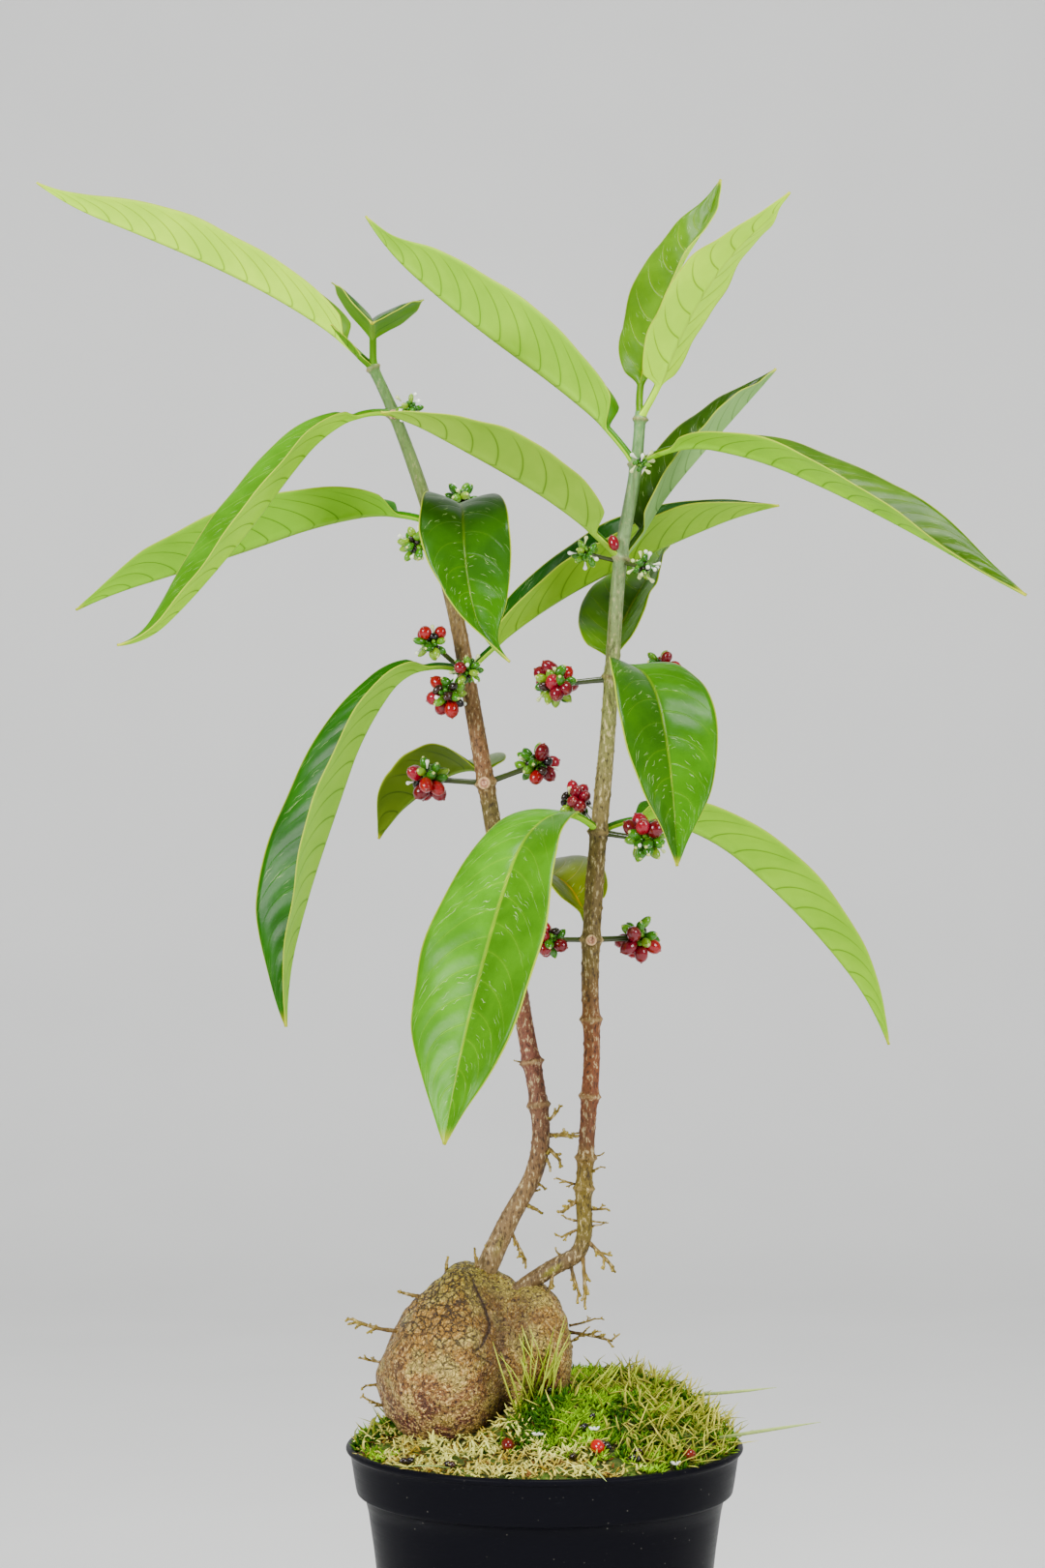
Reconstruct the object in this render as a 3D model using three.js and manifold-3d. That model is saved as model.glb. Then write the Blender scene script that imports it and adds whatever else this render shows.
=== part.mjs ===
// A potted ant plant: a swollen caudex in a round nursery pot, with two slender stems, large folded
// leaves and round heads of small berries.
// Millimetres, +Z up, origin at the middle of the pot's flat underside. +X is to the viewer's right and
// +Y is away from the viewer. Headings are degrees round the pot seen from above: 0 to the right,
// 90 to the back, 180 to the left, 270 to the viewer.
import * as THREE from "three";
import { mergeVertices } from "three/addons/utils/BufferGeometryUtils.js";
import Module from "manifold-3d";

const wasm = await Module();
wasm.setup();

// Driving dimensions.
const GAP = 0.3; // clearance between pieces that touch on the plant
const ROUND_SIDES = 36; // faces round the pot and the moss
const POT_HEIGHT = 110;
const LIP_RADIUS = 65;
const LIP_HEIGHT = 1.8;
const BAND_HEIGHT = 16; // the straight band under the lip
const BAND_TOP_RADIUS = 63.7;
const BAND_FOOT_RADIUS = 61.5;
const BODY_TOP_RADIUS = 57.5; // the tapered body, just under the band
const BODY_FOOT_RADIUS = 48;
const POT_WALL = 1.3;
const POT_FLOOR = 2.5;
const FOOT_CHAMFER = 2; // where the pot's wall turns into its underside
const SOIL_RIM_DROP = 1; // the moss meets the wall this far below the lip
const MOUND_HEIGHT = 20; // the moss above its edge, at the top of the mound
const PETIOLE_LENGTH = 12;
const PETIOLE_RADIUS = 1.2;
const LEAF_THICKNESS = 2.2; // at the midrib; it thins to the margins
const BERRY_LENGTH = 5.8;
const BERRY_WIDTH = 3.9;
const BERRY_STALK_RADIUS = 0.75;
const STEM_SIDES = 7;
const NODE_SWELLING = 0.28; // how far a stem swells at a leaf node, as a share of its radius
const NODE_REACH = 2; // how far along the stem the swelling spreads
const GOLDEN_ANGLE = 137.5;

// The two lobes of the caudex: middle, half sizes across and deep, how far each reaches up and down,
// and how far its top leans to the right.
const CAUDEX_LOBES = [
  { middle: [-29.5, 0, 133], across: 25.5, deep: 29, up: 34.5, down: 27, lean: 8 },
  { middle: [-3.5, -3, 138], across: 12.8, deep: 19, up: 25, down: 22, lean: -1 },
];

// Each stem: the route of its middle line from inside the caudex to its tip, its radius at even steps
// along that route, the height where its foot ends at the bend, and the heights of its leaf nodes.
const STEMS = {
  left: {
    route: [
      [-24, 0, 156], [-12, 1, 182], [-3.5, 3, 198], [-1.3, 4, 209], [-2.4, 5, 223], [-6.5, 7, 246],
      [-17.5, 8, 315], [-24, 8, 352], [-29, 8, 380], [-39, 8, 418], [-49.8, 8, 448], [-58, 8, 466],
    ],
    radii: [3.9, 3, 2.9, 2.85, 2.8, 2.75, 2.5, 2.1, 1.6],
    bend: 206,
    nodes: [220, 234, 326, 362.5, 412, 448, 463],
  },
  right: {
    route: [
      [-14, -4, 156], [-4.8, -4, 163], [4, -5, 168.6], [10.5, -6, 172.5], [12.8, -7, 179], [12.6, -8, 191],
      [14, -8, 216], [15.3, -8, 238], [14.8, -8, 262], [16, -8, 291], [19.8, -8, 335], [21.8, -8, 362],
      [24.5, -8, 398], [29.5, -8, 428], [31.2, -8, 447],
    ],
    radii: [2.8, 2.6, 2.6, 2.8, 2.9, 2.6, 2.35, 2.2, 1.7],
    bend: 174,
    nodes: [194, 204, 224, 249, 275, 310, 360.5, 399, 429.5, 444.5],
  },
};

// The leaves of each stem, from its tip down. `at` is the height of the node, and `half` is the widest
// half of the blade. `heading` and `climb` are the leaf's direction at even steps from base to tip, round
// the pot and above level. `lift` is how far the left and the right half of the blade rise beside the
// midrib, seen from the base. `belly` and `base` shape the outline of some blades, as bladeWidth says, and
// `stalk` is the length of a stalk that differs.
const LEAVES = {
  left: [
    { at: 463, length: 147, half: 15.5, lift: [56, 38],
      heading: [158, 155], climb: [44, 32, 26, 23, 22, 35] },
    { at: 463, length: 55, half: 18, lift: [22, 43],
      heading: [272, 272], climb: [76, 20, 2, -10, -16] },
    { at: 448, length: 126, half: 15, lift: [30, 42], base: 0.7,
      heading: [200, 198], climb: [8, -30, -51, -54, -51, -49, -44, -4] },
    { at: 412, length: 142, half: 17, lift: [52, 34], base: 0.6,
      heading: [152, 158], climb: [20, -7, -16, -15, -14, -22] },
    { at: 412, length: 98, half: 15.5, lift: [20, 22],
      heading: [318, 274, 273, 292, 352], climb: [30, -2, -38, -60, -60, -36] },
    { at: 362.5, length: 145, half: 15.5, lift: [24, 70], belly: 1.1, base: 0.55,
      heading: [194, 192, 196, 204, 208], climb: [24, -54, -65, -71, -79, -98] },
    { at: 362.5, length: 124, half: 17.5, lift: [56, 42], belly: 1,
      heading: [8, 20], climb: [46, 36, 28, 24, 22, 12] },
    { at: 326, length: 74, half: 16.5, lift: [34, 22],
      heading: [88, 122, 150, 136], climb: [24, 6, -20, -38, -48] },
  ],
  right: [
    { at: 445, length: 92, half: 16, lift: [17, 2], base: 0.45,
      heading: [314, 320], climb: [46, 61, 54, 44, 31, 44] },
    { at: 445, length: 95, half: 13, lift: [30, 30], base: 0.6,
      heading: [100, 32, 36, 66], climb: [60, 72, 62, 50, 64] },
    { at: 429.5, length: 138, half: 18.5, lift: [74, 34], stalk: 15.5,
      heading: [150, 150], climb: [54, 38, 34, 36, 40, 56] },
    { at: 429.5, length: 145, half: 14.5, lift: [37, 32], base: 0.8,
      heading: [332, 336], climb: [30, -12, -24, -28, -30, -28] },
    { at: 399, length: 97, half: 15, lift: [42, 32],
      heading: [210, 204], climb: [42, 33, 27, 24, 24, 12] },
    { at: 399, length: 90, half: 14, lift: [36, 46],
      heading: [30, 32], climb: [46, 54, 46, 44, 44, 46] },
    { at: 360.5, length: 97, half: 17, lift: [12, 20],
      heading: [298, 283, 292], climb: [26, -14, -44, -64, -78, -84] },
    { at: 360.5, length: 84, half: 16, lift: [20, 42],
      heading: [92, 74, 58, 52], climb: [34, 32, 42, 48] },
    { at: 310, length: 147, half: 22, lift: [6, 12], belly: 1.3,
      heading: [226, 241, 232, 236], climb: [38, -20, -58, -66, -70, -74] },
    { at: 310, length: 138, half: 15.5, lift: [42, 44],
      heading: [22, 18], climb: [28, -16, -38, -44, -51, -68] },
    { at: 275, length: 80, half: 16, lift: [25, 25],
      heading: [105, 142], climb: [52, 34, 4, -24, -40] },
  ],
};

// The folded young leaf at the left stem's tip.
const BUD = {
  at: 463, length: 20, half: 1.5, lift: [40, 40],
  heading: [214, 176], climb: [34, 54],
};

// The heads of berries of each stem, from its tip down. Each hangs on a stalk from a node: the stalk's
// direction, its length from the stem's middle line to the head, the number of berries, and their size
// against a full berry.
const HEADS = {
  left: [
    { at: 447, heading: 322, climb: 20, stalk: 8, berries: 3, size: 0.62 },
    { at: 411, heading: 222, climb: -42, stalk: 9.5, berries: 5, size: 0.8 },
    { at: 411, heading: 52, climb: 26, stalk: 17, berries: 4, size: 0.8 },
    { at: 362, heading: 226, climb: 31, stalk: 19, berries: 7, size: 0.95 },
    { at: 361, heading: 240, climb: -36, stalk: 11.5, berries: 7, size: 0.92 },
    { at: 362, heading: 285, climb: 4, stalk: 9.5, berries: 6, size: 0.8 },
    { at: 326, heading: 186, climb: 4, stalk: 19, berries: 8, size: 1.02 },
    { at: 326, heading: 8, climb: 16, stalk: 17, berries: 8, size: 1.02 },
  ],
  right: [
    { at: 429, heading: 284, climb: 8, stalk: 7, berries: 3, size: 0.55 },
    { at: 398, heading: 196, climb: 12, stalk: 12, berries: 6, size: 0.75 },
    { at: 398, heading: 316, climb: -12, stalk: 10.5, berries: 6, size: 0.72 },
    { at: 360, heading: 184, climb: -6, stalk: 18, berries: 10, size: 1.08 },
    { at: 360, heading: 36, climb: 12, stalk: 21, berries: 7, size: 0.9 },
    { at: 310, heading: 140, climb: 45, stalk: 14, berries: 7, size: 0.97 },
    { at: 310, heading: 338, climb: -8, stalk: 16.5, berries: 10, size: 1.08 },
    { at: 275, heading: 176, climb: 0, stalk: 14, berries: 7, size: 0.97 },
    { at: 275, heading: 10, climb: 2, stalk: 15.5, berries: 8, size: 1.02 },
  ],
};

// Aerial rootlets: where each starts, its direction, its length and its radius at the start.
const ROOTLETS = {
  caudex: [
    { start: [-46, -4, 147], heading: 182, climb: 3, length: 20, radius: 0.9 },
    { start: [-51, 0, 136], heading: 178, climb: 4, length: 10, radius: 0.7 },
    { start: [-52, 2, 129], heading: 184, climb: -14, length: 9, radius: 0.7 },
    { start: [8, 0, 146], heading: 4, climb: -10, length: 15, radius: 0.9 },
    { start: [-34, -2, 158], heading: 170, climb: 62, length: 9, radius: 0.7 },
  ],
  left_stem_foot: [
    { start: [-8, 2, 189], heading: 350, climb: -30, length: 8, radius: 0.7 },
    { start: [-5, 3, 195], heading: 345, climb: -50, length: 8, radius: 0.7 },
    { start: [-12, 1, 181], heading: 300, climb: -60, length: 12, radius: 0.7 },
  ],
  left_stem: [
    { start: [-1.3, 4, 210], heading: 355, climb: -6, length: 9.5, radius: 0.9 },
    { start: [-1.2, 4, 208.6], heading: 322, climb: -30, length: 10, radius: 0.8 },
  ],
  right_stem_foot: [
    { start: [8, -5, 171], heading: 300, climb: -66, length: 13, radius: 0.8 },
    { start: [3, -5, 168], heading: 240, climb: -60, length: 9, radius: 0.7 },
  ],
  right_stem: [
    { start: [12.7, -7, 178], heading: 330, climb: -42, length: 13, radius: 0.9 },
    { start: [12.6, -7, 180], heading: 200, climb: -20, length: 10, radius: 0.7 },
    { start: [12.6, -8, 189], heading: 190, climb: -12, length: 12, radius: 0.8 },
    { start: [12.6, -8, 187], heading: 352, climb: -6, length: 8, radius: 0.7 },
  ],
};
const FORK = { share: 0.62, turn: 48, climb: 14, length: 0.34 }; // the short branch of each rootlet

const finish = (color, roughness) => new THREE.MeshStandardMaterial({ color, roughness, metalness: 0 });
const FINISHES = {
  pot: finish(0x141416, 0.45),
  moss: finish(0x7a8a2e, 0.95),
  caudex: finish(0x7b6440, 0.85),
  oldStem: finish(0x5d4632, 0.75),
  youngStem: finish(0x6f7a4c, 0.6),
  leaf: finish(0x3f7a24, 0.4),
  berry: finish(0xa3181c, 0.3),
};

const radians = THREE.MathUtils.degToRad;
const point = ([x, y, z]) => new THREE.Vector3(x, y, z);

// The unit direction at a heading round the pot and a climb above level.
function direction(heading, climb) {
  const level = Math.cos(radians(climb));
  return new THREE.Vector3(
    level * Math.cos(radians(heading)),
    level * Math.sin(radians(heading)),
    Math.sin(radians(climb)),
  );
}

// The value at a share from 0 to 1 along a list of values that stand at even steps.
function alongSteps(values, share) {
  const place = THREE.MathUtils.clamp(share, 0, 1) * (values.length - 1);
  const step = Math.min(Math.floor(place), values.length - 2);
  return THREE.MathUtils.lerp(values[step], values[step + 1], place - step);
}

// A closed geometry as a solid: only its positions are kept, and equal vertices become one.
function solidOf(geometry) {
  geometry.deleteAttribute("normal");
  geometry.deleteAttribute("uv");
  const merged = mergeVertices(geometry, 1e-4);
  return new wasm.Manifold(
    new wasm.Mesh({
      numProp: 3,
      vertProperties: new Float32Array(merged.attributes.position.array),
      triVerts: new Uint32Array(merged.index.array),
    }),
  );
}

// A solid as a named mesh.
function meshOf(name, solid, material) {
  const { vertProperties, triVerts } = solid.getMesh();
  const geometry = new THREE.BufferGeometry();
  geometry.setAttribute("position", new THREE.BufferAttribute(new Float32Array(vertProperties), 3));
  geometry.setIndex(new THREE.BufferAttribute(new Uint32Array(triVerts), 1));
  geometry.computeVertexNormals();
  const mesh = new THREE.Mesh(geometry, material);
  mesh.name = name;
  return mesh;
}

// A limb: a cylinder whose rings are laid one by one along a route. place(station, x, z) gives where
// a ring's point goes, with x to the limb's left and z to its upper side.
function limb(sides, stations, place) {
  const rows = stations.length - 1;
  const geometry = new THREE.CylinderGeometry(1, 1, 1, sides, rows);
  const position = geometry.attributes.position;
  for (let i = 0; i < position.count; i++) {
    const row = Math.round((0.5 - position.getY(i)) * rows);
    const placed = place(stations[row], position.getX(i), position.getZ(i));
    position.setXYZ(i, placed.x, placed.y, placed.z);
  }
  return solidOf(geometry);
}

// A round tube from one point to another, tapering.
function twig(start, end, startRadius, endRadius, sides = 5) {
  const along = end.clone().sub(start).normalize();
  const left = new THREE.Vector3(0.31, 0.27, 1).cross(along).normalize();
  const up = along.clone().cross(left);
  return limb(sides, [0, 1], (share, x, z) => {
    const radius = THREE.MathUtils.lerp(startRadius, endRadius, share);
    const middle = start.clone().lerp(end, share);
    return middle.addScaledVector(left, x * radius).addScaledVector(up, z * radius);
  });
}

// Joins a list of solids into one.
const joined = (solids) => solids.reduce((whole, next) => whole.add(next));

// The rootlets that grow on one piece: each is a main root and a short branch, which turns to one side
// and the other by turns.
function rootlets(piece) {
  const grown = [];
  ROOTLETS[piece].forEach((root, i) => {
    const start = point(root.start);
    const end = start.clone().addScaledVector(direction(root.heading, root.climb), root.length);
    const fork = start.clone().lerp(end, FORK.share);
    const turn = i % 2 ? FORK.turn : -FORK.turn;
    const away = direction(root.heading + turn, root.climb + FORK.climb);
    const forkEnd = fork.clone().addScaledVector(away, root.length * FORK.length);
    grown.push(twig(start, end, root.radius, root.radius * 0.5));
    grown.push(twig(fork, forkEnd, root.radius * 0.6, root.radius * 0.35, 4));
  });
  return grown;
}

// A solid turned about the vertical axis. The profile runs up the outside from the axis and back to it.
function turned(profile, finishShape = () => {}) {
  const points = profile.map(([radius, height]) => new THREE.Vector2(radius, height));
  const geometry = new THREE.LatheGeometry(points, ROUND_SIDES).rotateX(Math.PI / 2);
  finishShape(geometry.attributes.position);
  return solidOf(geometry);
}

// The pot: one wall turned round the axis, with a lip, a straight band and a tapered body, and a flat floor.
function pot() {
  const bandFoot = POT_HEIGHT - BAND_HEIGHT;
  const softEdge = 0.6;
  return turned([
    [0, 0],
    [BODY_FOOT_RADIUS - FOOT_CHAMFER, 0],
    [BODY_FOOT_RADIUS, FOOT_CHAMFER],
    [BODY_TOP_RADIUS, bandFoot],
    [BAND_FOOT_RADIUS, bandFoot + softEdge],
    [BAND_TOP_RADIUS, POT_HEIGHT - LIP_HEIGHT - softEdge],
    [LIP_RADIUS, POT_HEIGHT - LIP_HEIGHT],
    [LIP_RADIUS, POT_HEIGHT - softEdge],
    [LIP_RADIUS - softEdge, POT_HEIGHT],
    [BAND_TOP_RADIUS - POT_WALL, POT_HEIGHT],
    [BAND_FOOT_RADIUS - POT_WALL, bandFoot + 2],
    [BODY_TOP_RADIUS - POT_WALL, bandFoot + 0.4],
    [BODY_FOOT_RADIUS - POT_WALL, POT_FLOOR],
    [0, POT_FLOOR],
  ]);
}

// How far the moss stands above its edge: a dome that is highest behind the caudex and to its right, a
// bank in front of the right lobe, and two sizes of hummock that die out at the edge.
function mound(x, y, edgeRadius) {
  const dome = 1 - (Math.hypot(x, y) / edgeRadius) ** 4.5;
  const rise = THREE.MathUtils.clamp(0.6 + 0.0055 * x + 0.009 * y, 0.2, 1);
  const wideHummocks = 1.1 * Math.sin(x / 6.3 + 1) * Math.sin(y / 5.4);
  const smallHummocks = 0.7 * Math.sin(x / 3.6) * Math.sin(y / 4.1 + 2);
  const bank = 7 * Math.exp(-(((x - 4) / 20) ** 2 + ((y + 14) / 22) ** 2));
  return dome * rise * MOUND_HEIGHT + Math.min(1, dome * 4) * (bank + wideHummocks + smallHummocks);
}

// The moss and the substrate under it fill the pot, clear of its wall, and are cut clear of the caudex.
function mossMound() {
  const edge = POT_HEIGHT - SOIL_RIM_DROP;
  const clearOfWall = POT_WALL + GAP + 0.2;
  const edgeRadius = BAND_TOP_RADIUS - clearOfWall + 0.1;
  const bandFoot = POT_HEIGHT - BAND_HEIGHT;
  const topRings = 6;
  const profile = [
    [0, POT_FLOOR + GAP],
    [BODY_FOOT_RADIUS - clearOfWall, POT_FLOOR + GAP],
    [BODY_TOP_RADIUS - clearOfWall, bandFoot + 0.8],
    [BAND_FOOT_RADIUS - clearOfWall, bandFoot + 4],
    [edgeRadius, edge],
  ];
  for (let ring = topRings - 1; ring >= 0; ring--) {
    profile.push([(edgeRadius * ring) / topRings, edge]);
  }
  const raiseTop = (position) => {
    for (let i = 0; i < position.count; i++) {
      const x = position.getX(i);
      const y = position.getY(i);
      const onTop = position.getZ(i) > edge - 0.01 && Math.hypot(x, y) < edgeRadius - 0.01;
      if (onTop) position.setZ(i, edge + mound(x, y, edgeRadius));
    }
  };
  return turned(profile, raiseTop).subtract(caudexBody(GAP));
}

// One lobe of the caudex: a ball stretched to its half sizes, whose upper half leans.
function lobe({ middle, across, deep, up, down, lean }, extra) {
  const geometry = new THREE.SphereGeometry(1, 18, 11).rotateX(Math.PI / 2);
  const position = geometry.attributes.position;
  for (let i = 0; i < position.count; i++) {
    const [x, y, z] = [position.getX(i), position.getY(i), position.getZ(i)];
    position.setXYZ(
      i,
      middle[0] + x * (across + extra) + lean * Math.max(z, 0),
      middle[1] + y * (deep + extra),
      middle[2] + z * ((z > 0 ? up : down) + extra),
    );
  }
  return solidOf(geometry);
}

// The whole caudex, made larger all round by `extra` where something else is cut clear of it.
const caudexBody = (extra) => joined(CAUDEX_LOBES.map((one) => lobe(one, extra)));

// A stem as a curve with its radius, and the share of its length at a given height.
function stemShape({ route, radii, nodes }) {
  const curve = new THREE.CatmullRomCurve3(route.map(point), false, "centripetal");
  curve.arcLengthDivisions = 400;
  const shareAt = (height) => {
    let [low, high] = [0, 1];
    for (let i = 0; i < 30; i++) {
      const middle = (low + high) / 2;
      if (curve.getPointAt(middle).z < height) low = middle;
      else high = middle;
    }
    return low;
  };
  const length = curve.getLength();
  const nodeShares = nodes.map(shareAt);
  const bulge = (share, node) => Math.exp(-((((share - node) * length) / NODE_REACH) ** 2));
  const radiusAt = (share) => {
    const swelling = nodeShares.reduce((sum, node) => sum + bulge(share, node), 0);
    return alongSteps(radii, share) * (1 + NODE_SWELLING * Math.min(swelling, 1));
  };
  return { curve, length, shareAt, nodeShares, radiusAt };
}

const SHAPES = { left: stemShape(STEMS.left), right: stemShape(STEMS.right) };

// The stretch of a stem between two shares of its length, as a tube that is `extra` thicker than the
// stem, with a ring on each node and one on either side of it.
function stemTube({ curve, length, nodeShares, radiusAt }, from, to, extra, spacing = 14) {
  const shares = [from, to];
  const even = Math.round(((to - from) * length) / spacing);
  for (let i = 1; i < even; i++) {
    const share = from + ((to - from) * i) / even;
    const nearNode = nodeShares.some((node) => Math.abs(node - share) * length < 2.5 * NODE_REACH);
    if (!nearNode) shares.push(share);
  }
  for (const node of nodeShares) {
    for (const offset of [-1.3 * NODE_REACH, 0, 1.3 * NODE_REACH]) {
      const share = node + offset / length;
      if (share > from + 1 / length && share < to - 1 / length) shares.push(share);
    }
  }
  shares.sort((a, b) => a - b);
  return limb(STEM_SIDES, shares, (share, x, z) => {
    const along = curve.getTangentAt(share);
    const left = new THREE.Vector3(0, 1, 0).cross(along).normalize();
    const up = along.clone().cross(left);
    const radius = radiusAt(share) + extra;
    return curve.getPointAt(share).addScaledVector(left, x * radius).addScaledVector(up, z * radius);
  });
}

// The midrib of a leaf: where it is, and which way its left and its upper side face, at a share of
// its length.
function midrib({ stem, at, length, heading, climb }) {
  const { curve, shareAt } = SHAPES[stem];
  const places = [curve.getPointAt(shareAt(at))];
  const steps = 60;
  for (let i = 0; i < steps; i++) {
    const share = (i + 0.5) / steps;
    const step = direction(alongSteps(heading, share), alongSteps(climb, share));
    places.push(places[i].clone().addScaledVector(step, length / steps));
  }
  return (share) => {
    const place = share * steps;
    const step = Math.min(Math.floor(place), steps - 1);
    const round = alongSteps(heading, share);
    const along = direction(round, alongSteps(climb, share));
    const left = direction(round + 90, 0);
    return { at: places[step].clone().lerp(places[step + 1], place - step), left, up: along.cross(left) };
  };
}

// The blade's half width at a share of the blade, against its widest, with a drawn-out tip. The belly
// sets where it is widest, and a low base makes the blade's foot rounder.
function bladeWidth(share, belly = 0.82, base = 0.45) {
  const open = THREE.MathUtils.clamp(share, 0, 1);
  const power = base + (0.78 - base) * THREE.MathUtils.smoothstep(open, 0, 0.5);
  const oval = Math.max(Math.sin(Math.PI * open ** belly), 0) ** power;
  return oval * (1 - 0.4 * THREE.MathUtils.smoothstep(open, 0.72, 1));
}

// A leaf: a round stalk that opens into two half blades, which rise on either side of the midrib.
function leaf(row) {
  const rib = midrib(row);
  const stalk = Math.min((row.stalk ?? PETIOLE_LENGTH) / row.length, 0.3);
  const blade = [0, 0.04, 0.12, 0.24, 0.38, 0.52, 0.66, 0.8, 0.92, 1];
  const stations = [0, stalk * 0.55, ...blade.map((share) => stalk + share * (1 - stalk))];
  const [liftLeft, liftRight] = row.lift.map(radians);
  return limb(8, stations, (share, x, z) => {
    const { at, left, up } = rib(share);
    const open = (share - stalk) / (1 - stalk);
    const half = Math.max(row.half * bladeWidth(open, row.belly, row.base), 0.5);
    const opening = THREE.MathUtils.smoothstep(open, 0, 0.07);
    const lift = x > 0 ? liftLeft : liftRight;
    const across = x * Math.abs(x) * half;
    const thick = (z * Math.min(LEAF_THICKNESS, half * 1.4)) / 2;
    const outward = across * Math.cos(lift) - x * thick * Math.sin(lift);
    const upward = Math.abs(across) * Math.sin(lift) + thick * (1 - Math.abs(x) * (1 - Math.cos(lift)));
    return at
      .addScaledVector(left, THREE.MathUtils.lerp(x * PETIOLE_RADIUS, outward, opening))
      .addScaledVector(up, THREE.MathUtils.lerp(z * PETIOLE_RADIUS, upward, opening));
  });
}

// A head of berries: a stalk with a small core at its end, and berries that stand out of the core all
// round it, spread evenly by the golden angle.
function berryHead({ stem, at, heading, climb, stalk, berries, size }) {
  const { curve, shareAt } = SHAPES[stem];
  const start = curve.getPointAt(shareAt(at));
  const head = start.clone().addScaledVector(direction(heading, climb), stalk);
  const core = new THREE.IcosahedronGeometry(BERRY_WIDTH * size * 0.55).translate(head.x, head.y, head.z);
  const parts = [solidOf(core), twig(start, head, BERRY_STALK_RADIUS, BERRY_STALK_RADIUS)];
  for (let i = 0; i < berries; i++) {
    const climbOut = THREE.MathUtils.radToDeg(Math.asin(1 - (2 * (i + 0.5)) / berries));
    const out = direction(heading + i * GOLDEN_ANGLE, climbOut);
    const middle = head.clone().addScaledVector(out, BERRY_LENGTH * size * 0.72);
    const berry = new THREE.SphereGeometry(0.5, 5, 3);
    berry.scale(BERRY_WIDTH * size, BERRY_LENGTH * size, BERRY_WIDTH * size);
    berry.applyQuaternion(new THREE.Quaternion().setFromUnitVectors(new THREE.Vector3(0, 1, 0), out));
    parts.push(solidOf(berry.translate(middle.x, middle.y, middle.z)));
  }
  return joined(parts);
}

const plant = new THREE.Group();
plant.name = "potted_ant_plant";
plant.add(meshOf("pot", pot(), FINISHES.pot));
plant.add(meshOf("moss_mound", mossMound(), FINISHES.moss));
plant.add(meshOf("caudex", joined([caudexBody(0), ...rootlets("caudex")]), FINISHES.caudex));

// Each stem is a foot up to its bend, and a long upper stretch that carries the leaves and the berries.
for (const [stem, shape] of Object.entries(SHAPES)) {
  const bend = shape.shareAt(STEMS[stem].bend);
  const footSpacing = 7;
  const foot = stemTube(shape, 0, bend - GAP / shape.length, 0, footSpacing).subtract(caudexBody(GAP));
  const upper = stemTube(shape, bend, 1, 0);
  const footName = `${stem}_stem_foot`;
  const upperName = `${stem}_stem`;
  plant.add(meshOf(footName, joined([foot, ...rootlets(footName)]), FINISHES.oldStem));
  plant.add(meshOf(upperName, joined([upper, ...rootlets(upperName)]), FINISHES.youngStem));

  const clearOfStem = stemTube(shape, bend, 1, GAP);
  const addLeaf = (name, row) => {
    plant.add(meshOf(name, leaf({ ...row, stem }).subtract(clearOfStem), FINISHES.leaf));
  };
  LEAVES[stem].forEach((row, i) => addLeaf(`${stem}_leaf_${i + 1}`, row));
  if (stem === "left") addLeaf("left_bud", BUD);
  HEADS[stem].forEach((row, i) => {
    const head = berryHead({ ...row, stem }).subtract(clearOfStem);
    plant.add(meshOf(`${stem}_berries_${i + 1}`, head, FINISHES.berry));
  });
}

export default plant;
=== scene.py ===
# %% [markdown]
# # A potted ant plant, surface by surface
# A swollen caudex sits in moss in a round nursery pot. Two slender stems rise from it and carry large
# folded leaves and round heads of small berries. A rigid model of the whole plant comes first, as a
# frame. Each lesson below replaces one part of that frame by a finer surface, in the same place.

# %% Load the frame
from collections import namedtuple

import bpy
import numpy as np
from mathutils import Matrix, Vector


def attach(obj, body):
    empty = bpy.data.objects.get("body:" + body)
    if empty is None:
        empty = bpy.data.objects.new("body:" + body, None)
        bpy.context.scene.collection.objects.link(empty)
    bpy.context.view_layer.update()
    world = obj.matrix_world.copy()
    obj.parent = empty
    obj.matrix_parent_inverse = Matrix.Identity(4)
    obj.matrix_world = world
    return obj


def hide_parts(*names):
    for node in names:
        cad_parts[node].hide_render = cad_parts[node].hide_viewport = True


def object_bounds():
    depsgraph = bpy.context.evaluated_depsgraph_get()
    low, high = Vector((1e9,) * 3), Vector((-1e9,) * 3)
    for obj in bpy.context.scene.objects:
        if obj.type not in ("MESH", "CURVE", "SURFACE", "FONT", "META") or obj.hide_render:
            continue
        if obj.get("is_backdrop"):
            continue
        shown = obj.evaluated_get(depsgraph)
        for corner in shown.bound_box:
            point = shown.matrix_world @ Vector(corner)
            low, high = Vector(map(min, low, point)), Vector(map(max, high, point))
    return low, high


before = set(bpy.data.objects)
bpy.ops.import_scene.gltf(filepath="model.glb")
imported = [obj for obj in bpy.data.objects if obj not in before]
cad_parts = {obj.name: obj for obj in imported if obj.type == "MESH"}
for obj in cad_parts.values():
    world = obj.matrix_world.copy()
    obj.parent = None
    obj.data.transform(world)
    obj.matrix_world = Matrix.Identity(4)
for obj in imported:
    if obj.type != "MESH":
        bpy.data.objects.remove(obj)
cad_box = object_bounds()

print("frame:", len(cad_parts), "solids, from", tuple(cad_box[0]), "to", tuple(cad_box[1]))

# %% [markdown]
# ## Units, colours and directions
# All lengths here are in millimetres, as a grower would measure them, and become metres only when a mesh
# is made. Directions on a plant are easiest to think of as a heading round the pot and a climb above
# level. Colours are written as they look on a screen, from 0 to 255, and turned into the linear values
# that shaders work in.

# %% Units, colours and directions
MM = 0.001
random = np.random.default_rng(41)


def colour(tones):
    """Screen colours, or one of them, as linear light: each share of 255, raised to the power 2.2."""
    return (np.array(tones) / 255) ** 2.2


def unit(vectors):
    """Each vector divided by its own length."""
    return vectors / np.linalg.norm(vectors, axis=-1, keepdims=True)


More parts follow.
